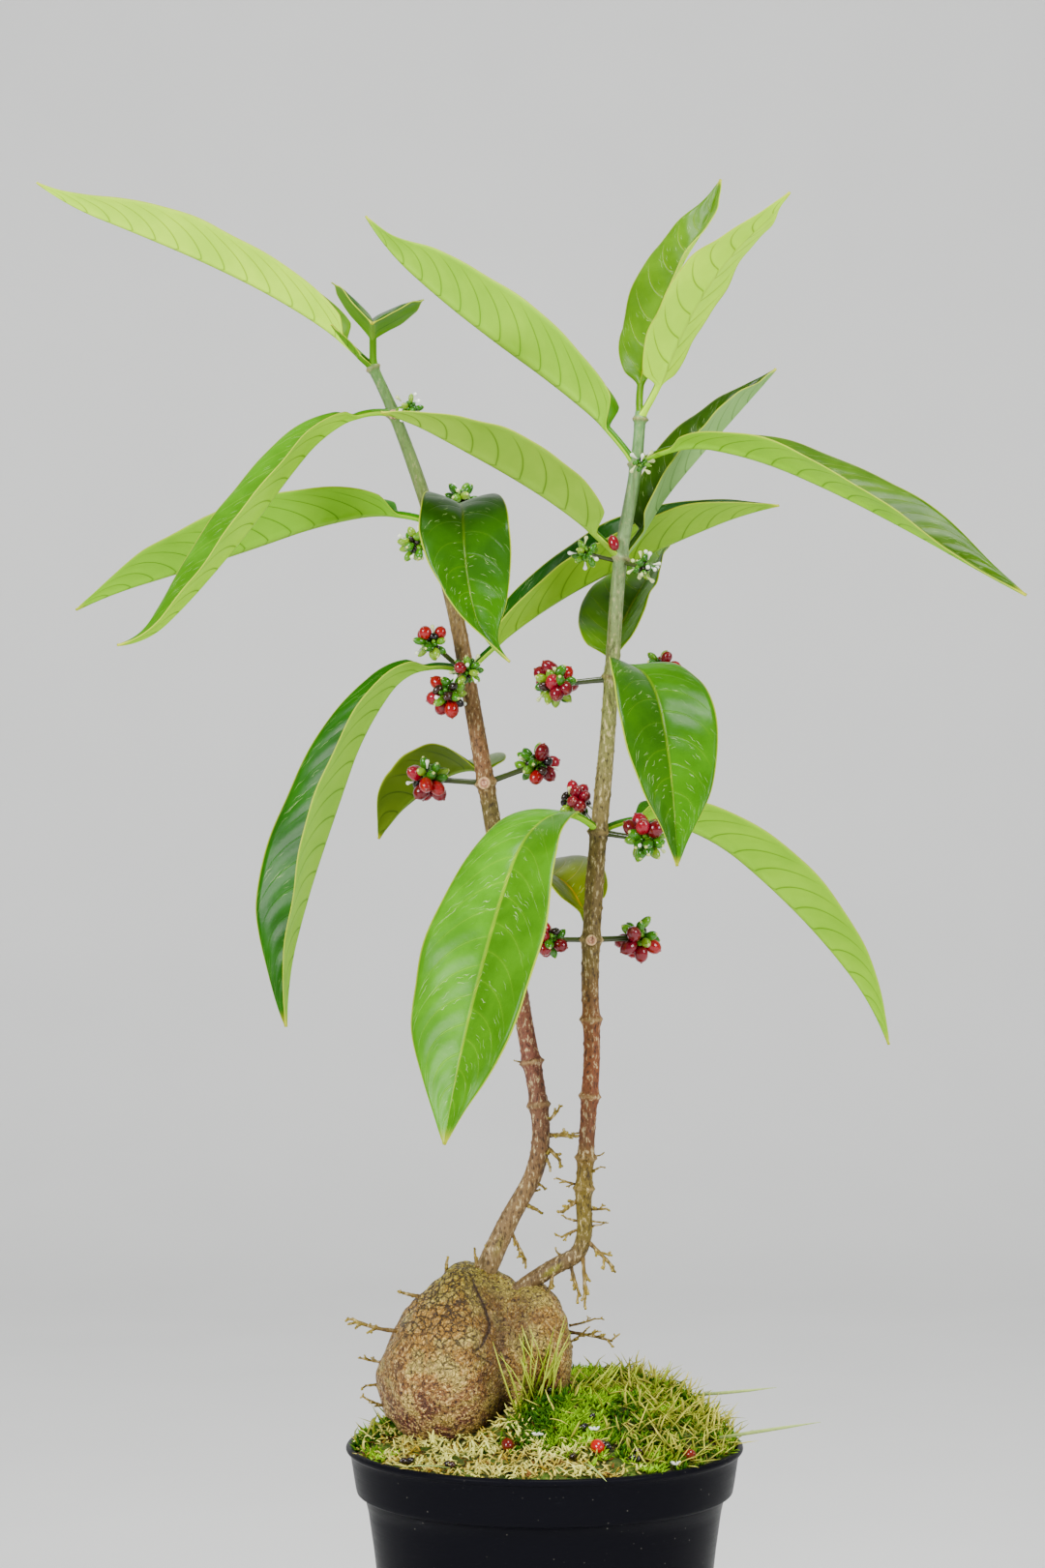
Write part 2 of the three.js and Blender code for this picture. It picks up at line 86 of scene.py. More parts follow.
def direction(heading, climb):
    """The unit vector at a heading round the pot and a climb above level, both in degrees."""
    heading, climb = np.broadcast_arrays(np.radians(heading), np.radians(climb))
    level = np.cos(climb)
    return np.stack([level * np.cos(heading), level * np.sin(heading), np.sin(climb)], -1)


def smooth(low, high, value):
    """The smooth step 3t² − 2t³, where t is how far the value is from low to high, kept in 0 to 1."""
    t = np.clip((value - low) / (high - low), 0, 1)
    return t * t * (3 - 2 * t)


def hill(*offsets):
    """A soft hill exp(−(a² + b² + …)): 1 where every offset is 0, and next to nothing beyond 2."""
    return np.exp(-sum(offset ** 2 for offset in offsets))


def along_steps(values, share):
    """The value at a share from 0 to 1 along a list of values that stand at even steps."""
    return np.interp(share, np.linspace(0, 1, len(values)), values)


def between_rows(wanted, known, rows):
    """Rows of numbers between the known ones: each column is interpolated by itself."""
    return np.stack([np.interp(wanted, known, column) for column in np.transpose(rows)], -1)


def blend(first, second, share):
    """A share of the way from the first to the second."""
    return first * (1 - share) + second * share


def round_angles(sides):
    """Even steps round a ring, in radians."""
    return np.linspace(0, 2 * np.pi, sides, endpoint=False)


def ripple(points, size, waves=14, seed=0):
    """Soft bumps of about the given size: the mean of sine waves that run in random directions."""
    dice = np.random.default_rng(seed)
    run = dice.normal(size=(points.shape[-1], waves)) * (2.0 / size)
    start = dice.uniform(0, 2 * np.pi, waves)
    return np.sin(points @ run + start).mean(-1) * np.sqrt(waves / 2)


print("a leaf-green in linear light:", colour((150, 200, 90)).round(3))

# %% [markdown]
# ## From arrays to a mesh
# Almost everything on this plant is a tube of some kind: a stem is a round one, a leaf a flattened one, a
# berry a short fat one. So one function is enough to close a stack of rings into a skin, with quads
# between the rings and a fan of triangles on each end. It works on many copies at once, which makes ten
# thousand moss leaves as easy as one. A ring runs from the tube's left over its upper side, so that faces
# point outwards.

# %% Skins and pieces
def skin(rings, **values):
    """Closes rings[copy, row, side] into skins. Each row joins the next, and both ends get a middle point.

    The values become attributes of the mesh. They are spread over copies, rows and sides, and are colours
    where they have one or four dimensions, or else numbers.
    """
    copies, rows, sides = rings.shape[:3]
    grid = np.arange(copies * rows * sides).reshape(copies, rows, sides)
    here, there = grid[:, :-1], grid[:, 1:]
    quads = np.stack([here, np.roll(here, -1, 2), np.roll(there, -1, 2), there], -1)
    first = np.repeat(grid.size + 2 * np.arange(copies)[:, None], sides, 1)
    start = np.stack([first, np.roll(grid[:, 0], -1, 1), grid[:, 0]], -1)
    end = np.stack([first + 1, grid[:, -1], np.roll(grid[:, -1], -1, 1)], -1)

    def with_ends(array):
        """The value of every point, and then the mean of each end's ring for its middle point."""
        channels = array.shape[-1:] if array.ndim in (1, 4) else (1,)
        array = array if array.ndim in (1, 4) else array[..., None]
        array = np.broadcast_to(array, grid.shape + channels)
        ends = np.stack([array[:, 0].mean(1), array[:, -1].mean(1)], 1)
        return np.concatenate([array.reshape(-1, *channels), ends.reshape(-1, *channels)])

    return {"points": with_ends(rings), "quads": quads.reshape(-1, 4),
            "triangles": np.concatenate([start.reshape(-1, 3), end.reshape(-1, 3)]),
            "values": {name: with_ends(value) for name, value in values.items()}}


def joined(shapes):
    """Puts several skins with the same attributes into one, by shifting the point numbers of each."""
    starts = np.cumsum([0] + [len(shape["points"]) for shape in shapes])
    whole = {"points": np.concatenate([shape["points"] for shape in shapes])}
    for kind in ("quads", "triangles"):
        whole[kind] = np.concatenate([shape[kind] + start for shape, start in zip(shapes, starts)])
    whole["values"] = {name: np.concatenate([shape["values"][name] for shape in shapes])
                       for name in shapes[0]["values"]}
    return whole


def volume(shape):
    """The enclosed volume in cm³: the sum of a·(b × c) / 6 over the faces, cut into triangles."""
    quads = shape["quads"]
    corners = np.concatenate([quads[:, [0, 1, 2]], quads[:, [0, 2, 3]], shape["triangles"]])
    a, b, c = (shape["points"][corner] for corner in corners.T)
    return (a * np.cross(b, c)).sum() / 6000


def put_in_scene(name, data):
    """A new object that carries the data and stands at the origin."""
    thing = bpy.data.objects.new(name, data)
    bpy.context.scene.collection.objects.link(thing)
    return thing


def make_piece(name, shape, material, slot, *nodes):
    """Puts a skin into a mesh, in metres, under the root body, and hides the frame solids it stands for."""
    mesh = bpy.data.meshes.new(name)
    quads, triangles = shape["quads"], shape["triangles"]
    corners = np.concatenate([quads.ravel(), triangles.ravel()])
    sizes = np.repeat([4, 3], [len(quads), len(triangles)])
    mesh.vertices.add(len(shape["points"]))
    mesh.vertices.foreach_set("co", (shape["points"] * MM).ravel())
    mesh.loops.add(len(corners))
    mesh.polygons.add(len(sizes))
    mesh.polygons.foreach_set("loop_start", np.cumsum(sizes) - sizes)
    mesh.polygons.foreach_set("vertices", corners)
    for title, value in shape["values"].items():
        kind, field = ("FLOAT_COLOR", "color") if value.shape[-1] == 3 else ("FLOAT", "value")
        if field == "color":
            value = np.concatenate([value, np.ones((len(value), 1))], 1)
        mesh.attributes.new(title, kind, "POINT").data.foreach_set(field, value.ravel())
    mesh.update(calc_edges=True)
    mesh.shade_smooth()
    mesh.materials.append(material)
    piece = put_in_scene(name, mesh)
    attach(piece, "root")
    if nodes:
        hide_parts(*nodes)
    print(f"{name}: {2 * len(quads) + len(triangles)} triangles, {volume(shape):.2f} cm³")

# %% [markdown]
# ## Tubes along a path, and lathe-like forms
# Two more helpers cover most pieces. `strands` grows thin tapered tubes that bend as they go: rootlets,
# stalks, moss leaves and grass. `spindles` turns one profile about many axes: berries, buds and scars.
# Both take arrays with one row for each copy.

# %% Strands and spindles
def strands(start, heading, climb, length, radius, bend=0.0, turn=0.0, thin=1.0, taper=(1, 0.3),
            rows=4, sides=3):
    """Tubes whose climb changes by bend and whose heading changes by turn, in degrees, from end to end.

    Their middle line adds up equal steps, and their radius follows taper. thin flattens them.
    """
    share = np.linspace(0, 1, rows)
    heading, climb, length, radius, bend, turn = (each[:, None] for each in np.broadcast_arrays(
        *np.atleast_1d(heading, climb, length, radius, bend, turn)))
    headings = heading + turn * share
    along = direction(headings, climb + bend * share)
    steps = along * (length / (rows - 1))[..., None]
    middle = np.cumsum(steps, 1) - steps + np.broadcast_to(start, (len(heading), 3))[:, None]
    left = direction(headings + 90, 0)
    angle = round_angles(sides)
    size = (radius * along_steps(taper, share))[..., None]
    across = (np.cos(angle) * size)[..., None] * left[:, :, None]
    rise = (np.sin(angle) * size * thin)[..., None] * np.cross(along, left)[:, :, None]
    return middle[:, :, None] + across + rise


def spindles(middle, axis, length, width, profile, sides=10):
    """Turns a profile of (radius, height) about each axis: the radius in half widths, the height in half
    lengths from the middle."""
    axis = unit(np.atleast_2d(axis))
    left = unit(np.cross([0.0, 0.0, 1.0], axis + [0, 1e-6, 0]))
    up = np.cross(axis, left)
    radius, height = np.array(profile, float).T
    angle = round_angles(sides)[:, None]
    ring = np.cos(angle) * left[:, None] + np.sin(angle) * up[:, None]
    length, width = np.broadcast_arrays(*np.atleast_1d(length, width))
    out = ring[:, None] * (width[:, None] / 2 * radius)[..., None, None]
    rise = axis[:, None] * (length[:, None] / 2 * height)[..., None]
    return np.broadcast_to(middle, axis.shape)[:, None, None] + out + rise[:, :, None]


print("one strand has", strands(np.zeros(3), 0, 0, 10, 1)[0].shape, "points")

# %% [markdown]
# ## A finish is a small network of nodes
# Every surface gets a procedural material. They are all put together from the same few building blocks,
# so a small class keeps each recipe short: it adds a node, feeds its sockets with numbers or with other
# outputs, and hands back the new output. Patterns read the object's own coordinates or attributes that
# were worked out with the mesh, so they stay in place from every side.

# %% A finish builder
class Finish:
    """A material that grows one node at a time."""

    def __init__(self, name, **sockets):
        self.material = bpy.data.materials.new(name)
        self.material.use_nodes = True
        self.nodes = self.material.node_tree.nodes
        self.shader = self.nodes["Principled BSDF"]
        self.where = self.add("TexCoord", {}, "Object")
        for socket, value in sockets.items():
            self.shader.inputs[socket.replace("_", " ")].default_value = value

    def feed(self, socket, value):
        """Links an output to a socket, or sets its own number. A tuple on a colour socket is a screen
        colour."""
        if isinstance(value, bpy.types.NodeSocket):
            self.material.node_tree.links.new(value, socket)
        elif socket.type == "RGBA":
            socket.default_value = (*(colour(value) if isinstance(value, tuple) else value), 1)
        else:
            socket.default_value = value

    def add(self, kind, inputs, output=0, **settings):
        """Adds one node, with its settings and inputs, and returns one of its outputs."""
        node = self.nodes.new("ShaderNode" + kind)
        for setting, value in settings.items():
            setattr(node, setting, value)
        for socket, value in inputs.items():
            self.feed(node.inputs[socket], value)
        return node.outputs[output]

    def value(self, name, output="Fac"):
        """A number that was stored on the mesh."""
        return self.add("Attribute", {}, output, attribute_name=name)

    def stored(self, name):
        """A colour that was stored on the mesh."""
        return self.value(name, "Color")

    def math(self, operation, *terms):
        """One step of arithmetic on numbers or outputs."""
        return self.add("Math", dict(enumerate(terms)), operation=operation)

    def times(self, first, second):
        """The product of two numbers or outputs, such as a mask and its strength."""
        return self.math("MULTIPLY", first, second)

    def noise(self, scale, detail=3.0, stretch=(1, 1, 1), where=None, rough=0.5):
        """Cloudy noise from 0 to 1, with so many clouds to the metre, or to the stretched metre."""
        place = self.add("Mapping", {"Vector": where or self.where, "Scale": stretch})
        inputs = {"Vector": place, "Scale": scale, "Detail": detail, "Roughness": rough}
        return self.add("TexNoise", inputs, "Fac")

    def cells(self, scale, feature="F1", stretch=(1, 1, 1), where=None):
        """The distance to the nearest of many scattered points, or to the edge between their cells."""
        place = self.add("Mapping", {"Vector": where or self.where, "Scale": stretch})
        return self.add("TexVoronoi", {"Vector": place, "Scale": scale}, "Distance", feature=feature)

    def wandering(self, scale, reach):
        """The place, moved by up to reach millimetres by noise in all three directions."""
        cloud = self.add("TexNoise", {"Vector": self.where, "Scale": scale, "Detail": 2.0}, "Color")
        centred = self.add("VectorMath", {0: cloud, 1: (0.5, 0.5, 0.5)}, operation="SUBTRACT")
        moved = self.add("VectorMath", {0: centred, "Scale": 2 * reach * MM}, operation="SCALE")
        return self.add("VectorMath", {0: self.where, 1: moved}, operation="ADD")

    def step(self, value, low, high):
        """0 where the value is at low, 1 where it is at high, and a smooth step between."""
        inputs = {"Value": value, "From Min": low, "From Max": high}
        return self.add("MapRange", inputs, interpolation_type="SMOOTHSTEP")

    def span(self, value, first, last, low=0.0, high=1.0):
        """A straight line that gives first where the value is at low, and last where it is at high."""
        return self.add("MapRange", {"Value": value, "From Min": low, "From Max": high, "To Min": first,
                                     "To Max": last})

    def mix(self, share, first, second, blend="MIX"):
        """A colour a share of the way from the first to the second."""
        return self.add("Mix", {0: share, 6: first, 7: second}, 2, data_type="RGBA", blend_type=blend)

    def tinted(self, tone, factors):
        """A colour whose red, green and blue are each multiplied by a factor."""
        return self.mix(1.0, tone, np.array(factors), "MULTIPLY")

    def painted(self, tone, *coats):
        """Lays coats over a colour, one after another. Each is (mask, strength, screen colour)."""
        for mask, strength, coat in coats:
            tone = self.mix(self.times(mask, strength), tone, coat)
        return tone

    def toned(self, tone, *coats):
        """Multiplies a colour by factors, one coat after another. Each is (mask, strength, factors)."""
        for mask, strength, factors in coats:
            tone = self.mix(self.times(mask, strength), tone, self.tinted(tone, factors))
        return tone

    def finish(self, tone, roughness=None, height=None, depth=0.2):
        """Feeds the shader. height is a relief from 0 to 1 that stands for depth millimetres."""
        self.feed(self.shader.inputs["Base Color"], tone)
        if roughness is not None:
            self.feed(self.shader.inputs["Roughness"], roughness)
        if height is not None:
            inputs = {"Height": height, "Distance": depth * MM, "Strength": 1.0}
            self.feed(self.shader.inputs["Normal"], self.add("Bump", inputs))
        return self.material


print("a finish can:", ", ".join(name for name in vars(Finish) if name[0] != "_"))

# %% [markdown]
# ## Camera, light and floor
# The photograph was taken level with the middle of the plant, from a little over a metre away, with a
# lens that is long enough to keep the verticals upright. Two large soft lamps stand on either side in
# front, and a third one hangs above and lets the thin leaf edges shine. The floor is a pale sheet that
# curves up behind the plant, as in a photographer's studio.

# %% Camera, light and floor
IMAGE = (1080, 1621)  # the photograph, in pixels
FOCAL = 3705.0  # the lens, in pixels
EYE = np.array([-7.3, -1175.0, 325.7])

camera_data = bpy.data.cameras.new("photo_camera")
camera_data.sensor_width = 36.0
camera_data.lens = FOCAL / max(IMAGE) * camera_data.sensor_width
camera = put_in_scene("photo_camera", camera_data)
camera.location = EYE * MM
camera.rotation_euler = (np.pi / 2, 0, 0)
bpy.context.scene.camera = camera


def add_lamp(name, place, target, width, power):
    """A square soft lamp that faces a target point. Place and target are in millimetres."""
    data = bpy.data.lights.new(name, "AREA")
    data.size = width * MM
    data.energy = power
    lamp = put_in_scene(name, data)
    lamp.location = Vector(place) * MM
    lamp.rotation_euler = (Vector(target) - Vector(place)).to_track_quat("-Z", "Y").to_euler()


add_lamp("left_lamp", (-1100, -1150, 900), (0, 0, 300), 600, 33)
add_lamp("right_lamp", (1200, -900, 700), (0, 0, 280), 600, 18)
add_lamp("top_lamp", (150, -350, 1500), (0, 0, 300), 500, 20)

world = bpy.data.worlds.new("studio")
world.use_nodes = True
world.node_tree.nodes["Background"].inputs["Color"].default_value = (0.9, 0.93, 1, 1)
world.node_tree.nodes["Background"].inputs["Strength"].default_value = 0.42
bpy.context.scene.world = world

FLOOR_HALF, FLOOR_FRONT, FLOOR_BACK = 2600.0, -2200, 1100
WALL_RADIUS, WALL_TOP = 500.0, 2600
run_back = np.linspace(FLOOR_FRONT, FLOOR_BACK, 12)
quarter = np.linspace(0, np.pi / 2, 14)[1:]
floor_y = np.concatenate([run_back, FLOOR_BACK + WALL_RADIUS * np.sin(quarter), [FLOOR_BACK + WALL_RADIUS]])
floor_z = np.concatenate([0 * run_back, WALL_RADIUS * (1 - np.cos(quarter)), [WALL_TOP]])
floor_x = np.array([-FLOOR_HALF, FLOOR_HALF])
sheet = np.stack(np.broadcast_arrays(floor_x[:, None], floor_y, floor_z), -1).reshape(-1, 3)
rows = np.arange(len(floor_y) - 1)
faces = np.stack([rows, rows + len(floor_y), rows + len(floor_y) + 1, rows + 1], -1)
floor_mesh = bpy.data.meshes.new("floor")
floor_mesh.from_pydata(sheet * MM, [], faces.tolist())
floor_mesh.shade_smooth()
floor = put_in_scene("floor", floor_mesh)
floor_finish = Finish("pale_floor", Roughness=0.8)
floor_tone = floor_finish.mix(floor_finish.noise(9.0, 2.0), (226, 226, 223), (234, 234, 231))
floor_mesh.materials.append(floor_finish.finish(floor_tone))
floor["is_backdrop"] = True
print("camera lens:", round(camera_data.lens, 2), "mm")

# %% [markdown]
# ## The pot
# A nursery pot is blown from thin black plastic: a small rounded lip, a straight band under it, a step,
# and a body that tapers to a flat foot. It is a turned form, so its profile is written once, from the
# middle of the foot up the outside, over the lip and down the inside, and carried round the axis. The
# corners are rounded by cutting them twice, which is how a soft edge comes out of straight lines.

# %% The pot's shape
pot_profile = np.array([
    (0, 0.6), (34, 0.6), (35, 0), (46, 0), (48, 2.2),  # the underside and the foot
    (57.5, 93.4), (61.2, 94.2), (61.7, 95.6), (62.7, 102.2), (63.5, 107.3),  # the body, the step, the band
    (64.7, 108.0), (65, 109), (64.2, 110), (62.7, 109.9),  # the lip
    (62.3, 107.0), (60.2, 96.2), (56.4, 94.2), (46.7, 3.4), (44.7, 2.5), (0, 2.5),  # the inside
])


def cut_corners(profile, times=2):
    """Rounds a profile: each corner becomes two points, at a quarter and three quarters of its sides."""
    for _ in range(times):
        before, after = profile[:-1], profile[1:]
        quarters = np.stack([before * 0.75 + after * 0.25, before * 0.25 + after * 0.75], 1)
        profile = np.concatenate([profile[:1], quarters.reshape(-1, 2), profile[-1:]])
    return profile


def turned(profile, sides, warp):
    """A profile carried round the upright axis. Each point of it makes one ring, from the bottom up."""
    radius, height = profile[:, 0, None], profile[:, 1, None]
    angle = round_angles(sides)
    radius, height = np.broadcast_arrays(*warp(radius, height, angle))
    return np.stack([radius * np.cos(angle), radius * np.sin(angle), height], -1)[None]


POT_SIDES = 240
STIFF_RADIUS, STIFF_HEIGHT = 40, 4  # the foot keeps its form


def pot_warp(radius, height, angle):
    """Thin plastic is never quite round: the wall wanders by a few tenths of a millimetre."""
    wander = 0.18 * np.sin(2 * angle + 0.7) + 0.12 * np.sin(3 * angle + height / 30)
    return radius + wander * (radius > STIFF_RADIUS) * (height > STIFF_HEIGHT), height + 0 * angle


pot_shape = skin(turned(cut_corners(pot_profile), POT_SIDES, pot_warp))
print("the pot's profile:", len(cut_corners(pot_profile)), "points after rounding")

# %% [markdown]
# The plastic is near black. What makes it look real is its wear: fine scratches that run round it, a few
# pale scuffs where it rubbed on others, and small specks of dried dirt among them.

# %% The pot's finish
plastic = Finish("black_plastic", Specular_IOR_Level=0.02)
scratches = plastic.noise(40.0, 4.0, stretch=(1, 1, 46), rough=0.7)
scuffs = plastic.noise(55.0, 6.0, stretch=(1, 1, 3), rough=0.75)
specks = plastic.step(plastic.cells(420.0), 0.12, 0.06)
plastic_tone = plastic.mix(plastic.step(scuffs, 0.63, 0.78), (22, 22, 26), (48, 48, 53))
plastic_tone = plastic.painted(plastic_tone, (specks, plastic.step(scuffs, 0.5, 0.6), (92, 90, 84)))
pot_finish = plastic.finish(plastic_tone, plastic.span(scratches, 0.22, 0.42), scratches, 0.06)
make_piece("pot_shell", pot_shape, pot_finish, "pot_plastic", "pot")

# %% [markdown]
# ## The moss mound
# Under the moss the pot is full of substrate, which shows nowhere. The ground that the moss grows on is a
# dome that is highest behind the caudex and to its right, with hummocks of two sizes that die out at the
# wall. The same formula places every moss leaf later, so the leaves always stand on the ground.

# %% The ground under the moss
MOSS_EDGE = 109.0
MOSS_RADIUS = 62.0
MOUND_HEIGHT = 20.0
MOUND_SIDES, MOUND_RINGS = 220, 70


def ground(x, y):
    """The height of the ground: a dome 1 − (distance / edge)^4.5, tilted up to the back right, with a
    bank in front of the right lobe and hummocks that are products of sine waves."""
    dome = 1 - np.clip(np.hypot(x, y) / MOSS_RADIUS, 0, 1) ** 4.5
    rise = np.clip(0.6 + 0.0055 * x + 0.009 * y, 0.2, 1)
    wide = 1.1 * np.sin(x / 6.3 + 1) * np.sin(y / 5.4)
    small = 0.7 * np.sin(x / 3.6) * np.sin(y / 4.1 + 2)
    bank = 7 * hill((x - 4) / 20, (y + 14) / 22) + 6 * hill((x + 2) / 15, (y + 24) / 9)
    return MOSS_EDGE + dome * rise * MOUND_HEIGHT + np.minimum(1, dome * 4) * (bank + wide + small)


def mound_warp(radius, height, angle):
    """Lifts the top of the mound onto the ground, with a fine crumb of its own."""
    x, y = radius * np.cos(angle), radius * np.sin(angle)
    crumb = 0.35 * ripple(np.stack([x, y], -1), 2.2, seed=5)
    top = height > MOSS_EDGE - 0.01
    inside = radius < MOSS_RADIUS - 1
    return radius + 0 * angle, np.where(top, ground(x, y) + crumb * inside, height)


mound_sides = [(0, 2.8), (46.2, 2.8), (55.7, 94.8), (59.7, 98), (MOSS_RADIUS, MOSS_EDGE)]
mound_top = [(MOSS_RADIUS * share, MOSS_EDGE) for share in np.linspace(1, 0.001, MOUND_RINGS)[1:]]
mound_shape = skin(turned(np.array(mound_sides + mound_top), MOUND_SIDES, mound_warp))

earth = Finish("moss_ground", Roughness=0.95)
patches = earth.noise(90.0, 4.0)
grains = earth.noise(900.0, 3.0)
earth_tone = earth.mix(earth.step(patches, 0.35, 0.6), (46, 44, 12), (66, 94, 8))
earth_tone = earth.painted(earth_tone, (earth.step(grains, 0.5, 0.75), 1.0, (128, 116, 46)))
make_piece("moss_ground", mound_shape, earth.finish(earth_tone, None, grains, 0.5), "moss", "moss_mound")
print("the mound's top is at", ground(30.0, 20.0).round(1), "mm")

# %% [markdown]
# ## The caudex
# The caudex is two swollen lobes that have grown together, with a groove where they meet. Each lobe is
# a stretched ball whose upper half leans. For a surface without seams the two are joined as fields: a
# field is 1 on a lobe's surface, and the smaller of the two fields, blended softly, is the whole body.
# From a point inside both lobes the surface is then found along every ray by halving the step, for all
# rays at once.

# %% The caudex as a field
LOBES = (
    {"middle": (-29.5, 0, 133), "across": 25.5, "deep": 29, "up": 34.5, "down": 27, "lean": 8},
    {"middle": (-3.5, -3, 138), "across": 12.8, "deep": 19, "up": 25, "down": 22, "lean": -1},
)
HEART = np.array([-10.0, -1.5, 138.0])


def lobe_field(points, lobe):
    """The distance from the lobe's middle, measured in its own half sizes: 1 is its surface."""
    away = points - np.array(lobe["middle"], float)
    high = np.where(away[..., 2] > 0, lobe["up"], lobe["down"])
    rise = away[..., 2] / high
    shifted = away[..., 0] - lobe["lean"] * np.maximum(rise, 0)
    return np.sqrt((shifted / lobe["across"]) ** 2 + (away[..., 1] / lobe["deep"]) ** 2 + rise ** 2)


def caudex_field(points, blend=0.14):
    """The softly blended smaller of the two lobes' fields."""
    one, other = (lobe_field(points, lobe) for lobe in LOBES)
    near = np.clip(0.5 + (other - one) / (2 * blend), 0, 1)
    return other * (1 - near) + one * near - blend * near * (1 - near)


def surface_along(rays, steps=26, reach=80.0):
    """How far the caudex's surface is from its heart along each ray: halve the step, and keep the half
    that the surface is in."""
    low, high = np.zeros(rays.shape[:-1]), np.full(rays.shape[:-1], reach)
    for _ in range(steps):
        middle = (low + high) / 2
        inside = caudex_field(HEART + rays * middle[..., None]) < 1
        low, high = np.where(inside, middle, low), np.where(inside, high, middle)
    return low

# %% [markdown]
# The bark of the caudex is cracked into small plates towards the top, and warty and smoother low down.
# A broad valley runs down its front where the two lobes have swollen against each other, with a finer
# groove in it and a thin split beside it. Scattered points on the surface give the plates: between the
# nearest and the second nearest point the difference in distance falls to nothing just on a crack. Slow
# ripples give the lumps under it.

# %% The caudex's skin
def cell_edges(points, seeds, block=4000):
    """How far each point is from the border of its cell: the second smallest distance less the smallest."""
    edge = np.empty(len(points))
    for start in range(0, len(points), block):
        part = points[start:start + block]
        square = (part ** 2).sum(-1)[:, None] + (seeds ** 2).sum(-1) - 2 * part @ seeds.T
        nearest = np.sqrt(np.maximum(np.partition(square, 1, axis=-1)[:, :2], 0))
        edge[start:start + block] = nearest[:, 1] - nearest[:, 0]
    return edge


CAUDEX_ROWS, CAUDEX_SIDES, PLATES = 230, 400, 1500
polar = np.linspace(-89.6, 89.6, CAUDEX_ROWS)[:, None]
azimuth = np.linspace(0, 360, CAUDEX_SIDES, endpoint=False)
rays = direction(azimuth, polar)
bare = HEART + rays * surface_along(rays)[..., None]
x, y, z = np.moveaxis(bare, -1, 0)

seed_rays = unit(random.normal(size=(PLATES, 3)))
plate_seeds = HEART + seed_rays * surface_along(seed_rays)[:, None]
warped = bare + 0.7 * np.stack([ripple(bare, 6, seed=s) for s in (1, 2, 3)], -1)
edges = cell_edges(warped.reshape(-1, 3), plate_seeds).reshape(bare.shape[:2])
height_share = smooth(128, 158, z + 9 * ripple(bare, 16, seed=6))
cracks = (1 - smooth(0.1, 0.8, edges)) * height_share
lumps = 0.8 * ripple(bare, 13, seed=7) + 0.4 * ripple(bare, 5, seed=8)
warts = np.maximum(ripple(bare, 2.2, seed=9), 0) ** 2 * (1 - 0.6 * height_share)

SPLIT_HEIGHTS = (139.5, 143.5, 149, 155, 162, 169)
SPLIT_PLACES = (-19, -24.2, -21.4, -20.1, -22.6, -25.4)  # across, at those heights
SPLIT_WIDTH = 0.55
front = smooth(0, -14, y)
valley = hill((x + 18 + 0.1 * (z - 140)) / 6.5)
groove = hill((x + 15.2 + 0.04 * (z - 140)) / 2.4)
split_offset = x - np.interp(z, SPLIT_HEIGHTS, SPLIT_PLACES) + 0.4 * ripple(bare, 3, seed=12)
split = hill(split_offset / SPLIT_WIDTH) * smooth(137, 141, z) * smooth(172, 166, z)
shoulder = 3.4 * hill((x + 28) / 6.5, (z - 168) / 8)
furrows = ((5.2 * valley + 0.8 * groove) * smooth(172, 158, z) + 0.7 * split) * front
relief = lumps - furrows + shoulder - 0.3 * cracks + 0.22 * warts

# Painted shade: the valley, the groove, the split and the hollow between the lobes are darkened in colour
# through the shade attribute. The cap makes the top of the right lobe darker.
hollow_shade = hill((x + 7.5) / 7, (z - 153) / 13)  # between the lobes
cap = hill((x - 4) / 9, (z - 163) / 6)  # the top of the right lobe
darkness = 0.95 * valley + 0.5 * groove + 1.2 * split + 1.1 * hollow_shade + 0.6 * cap
# Painted shade on the flanks: the left and right sides of the caudex, turned away from the light, are
# darkened towards olive.
flank = smooth(0.72, 1.02, np.abs(x + 22.5) / 31.5 + 0.08 * ripple(bare, 9, seed=13))
caudex_shape = skin((bare + rays * relief[..., None])[None], crack=cracks[None],
                    shade=(darkness * front)[None], flank=flank[None])
print("the caudex's relief runs from", relief.min().round(1), "to", relief.max().round(1), "mm")

# %% [markdown]
# Its colour changes with height: purplish and damp where it leaves the moss, golden brown in the middle,
# and olive gold at the crown. Light and dark flecks lie over that, with pale golden patches that are partly
# its own colour and partly a painted highlight. The cracks follow the same numbers as the relief, and so
# does painted shade: in the furrows and the hollow between the lobes, and on the flanks, which are darkened
# towards olive where they turn away from the light.

# %% The caudex's finish
bark = Finish("caudex_bark", Specular_IOR_Level=0.5)
patch = bark.noise(120.0, 5.0, rough=0.6)
across, upright = (bark.add("SeparateXYZ", {"Vector": bark.where}, axis) for axis in "XZ")
tall = bark.math("ADD", upright, bark.times(patch, 0.04))
leftward = bark.math("MULTIPLY_ADD", bark.step(across, -0.012, -0.03), 0.7, 0.3)
upper = bark.times(bark.step(tall, 0.15, 0.17), leftward)
lower = bark.math("SUBTRACT", 1.0, bark.times(upper, 0.25))
middle_share = bark.step(tall, 0.134, 0.168)
crown = bark.step(tall, 0.17, 0.196)
torn = bark.wandering(420.0, 1.7)
plates, small_plates, pebbles = (bark.cells(scale, "DISTANCE_TO_EDGE", where=torn)
                                 for scale in (350.0, 760.0, 720.0))
flecks = bark.noise(780.0, 4.0, rough=0.65)
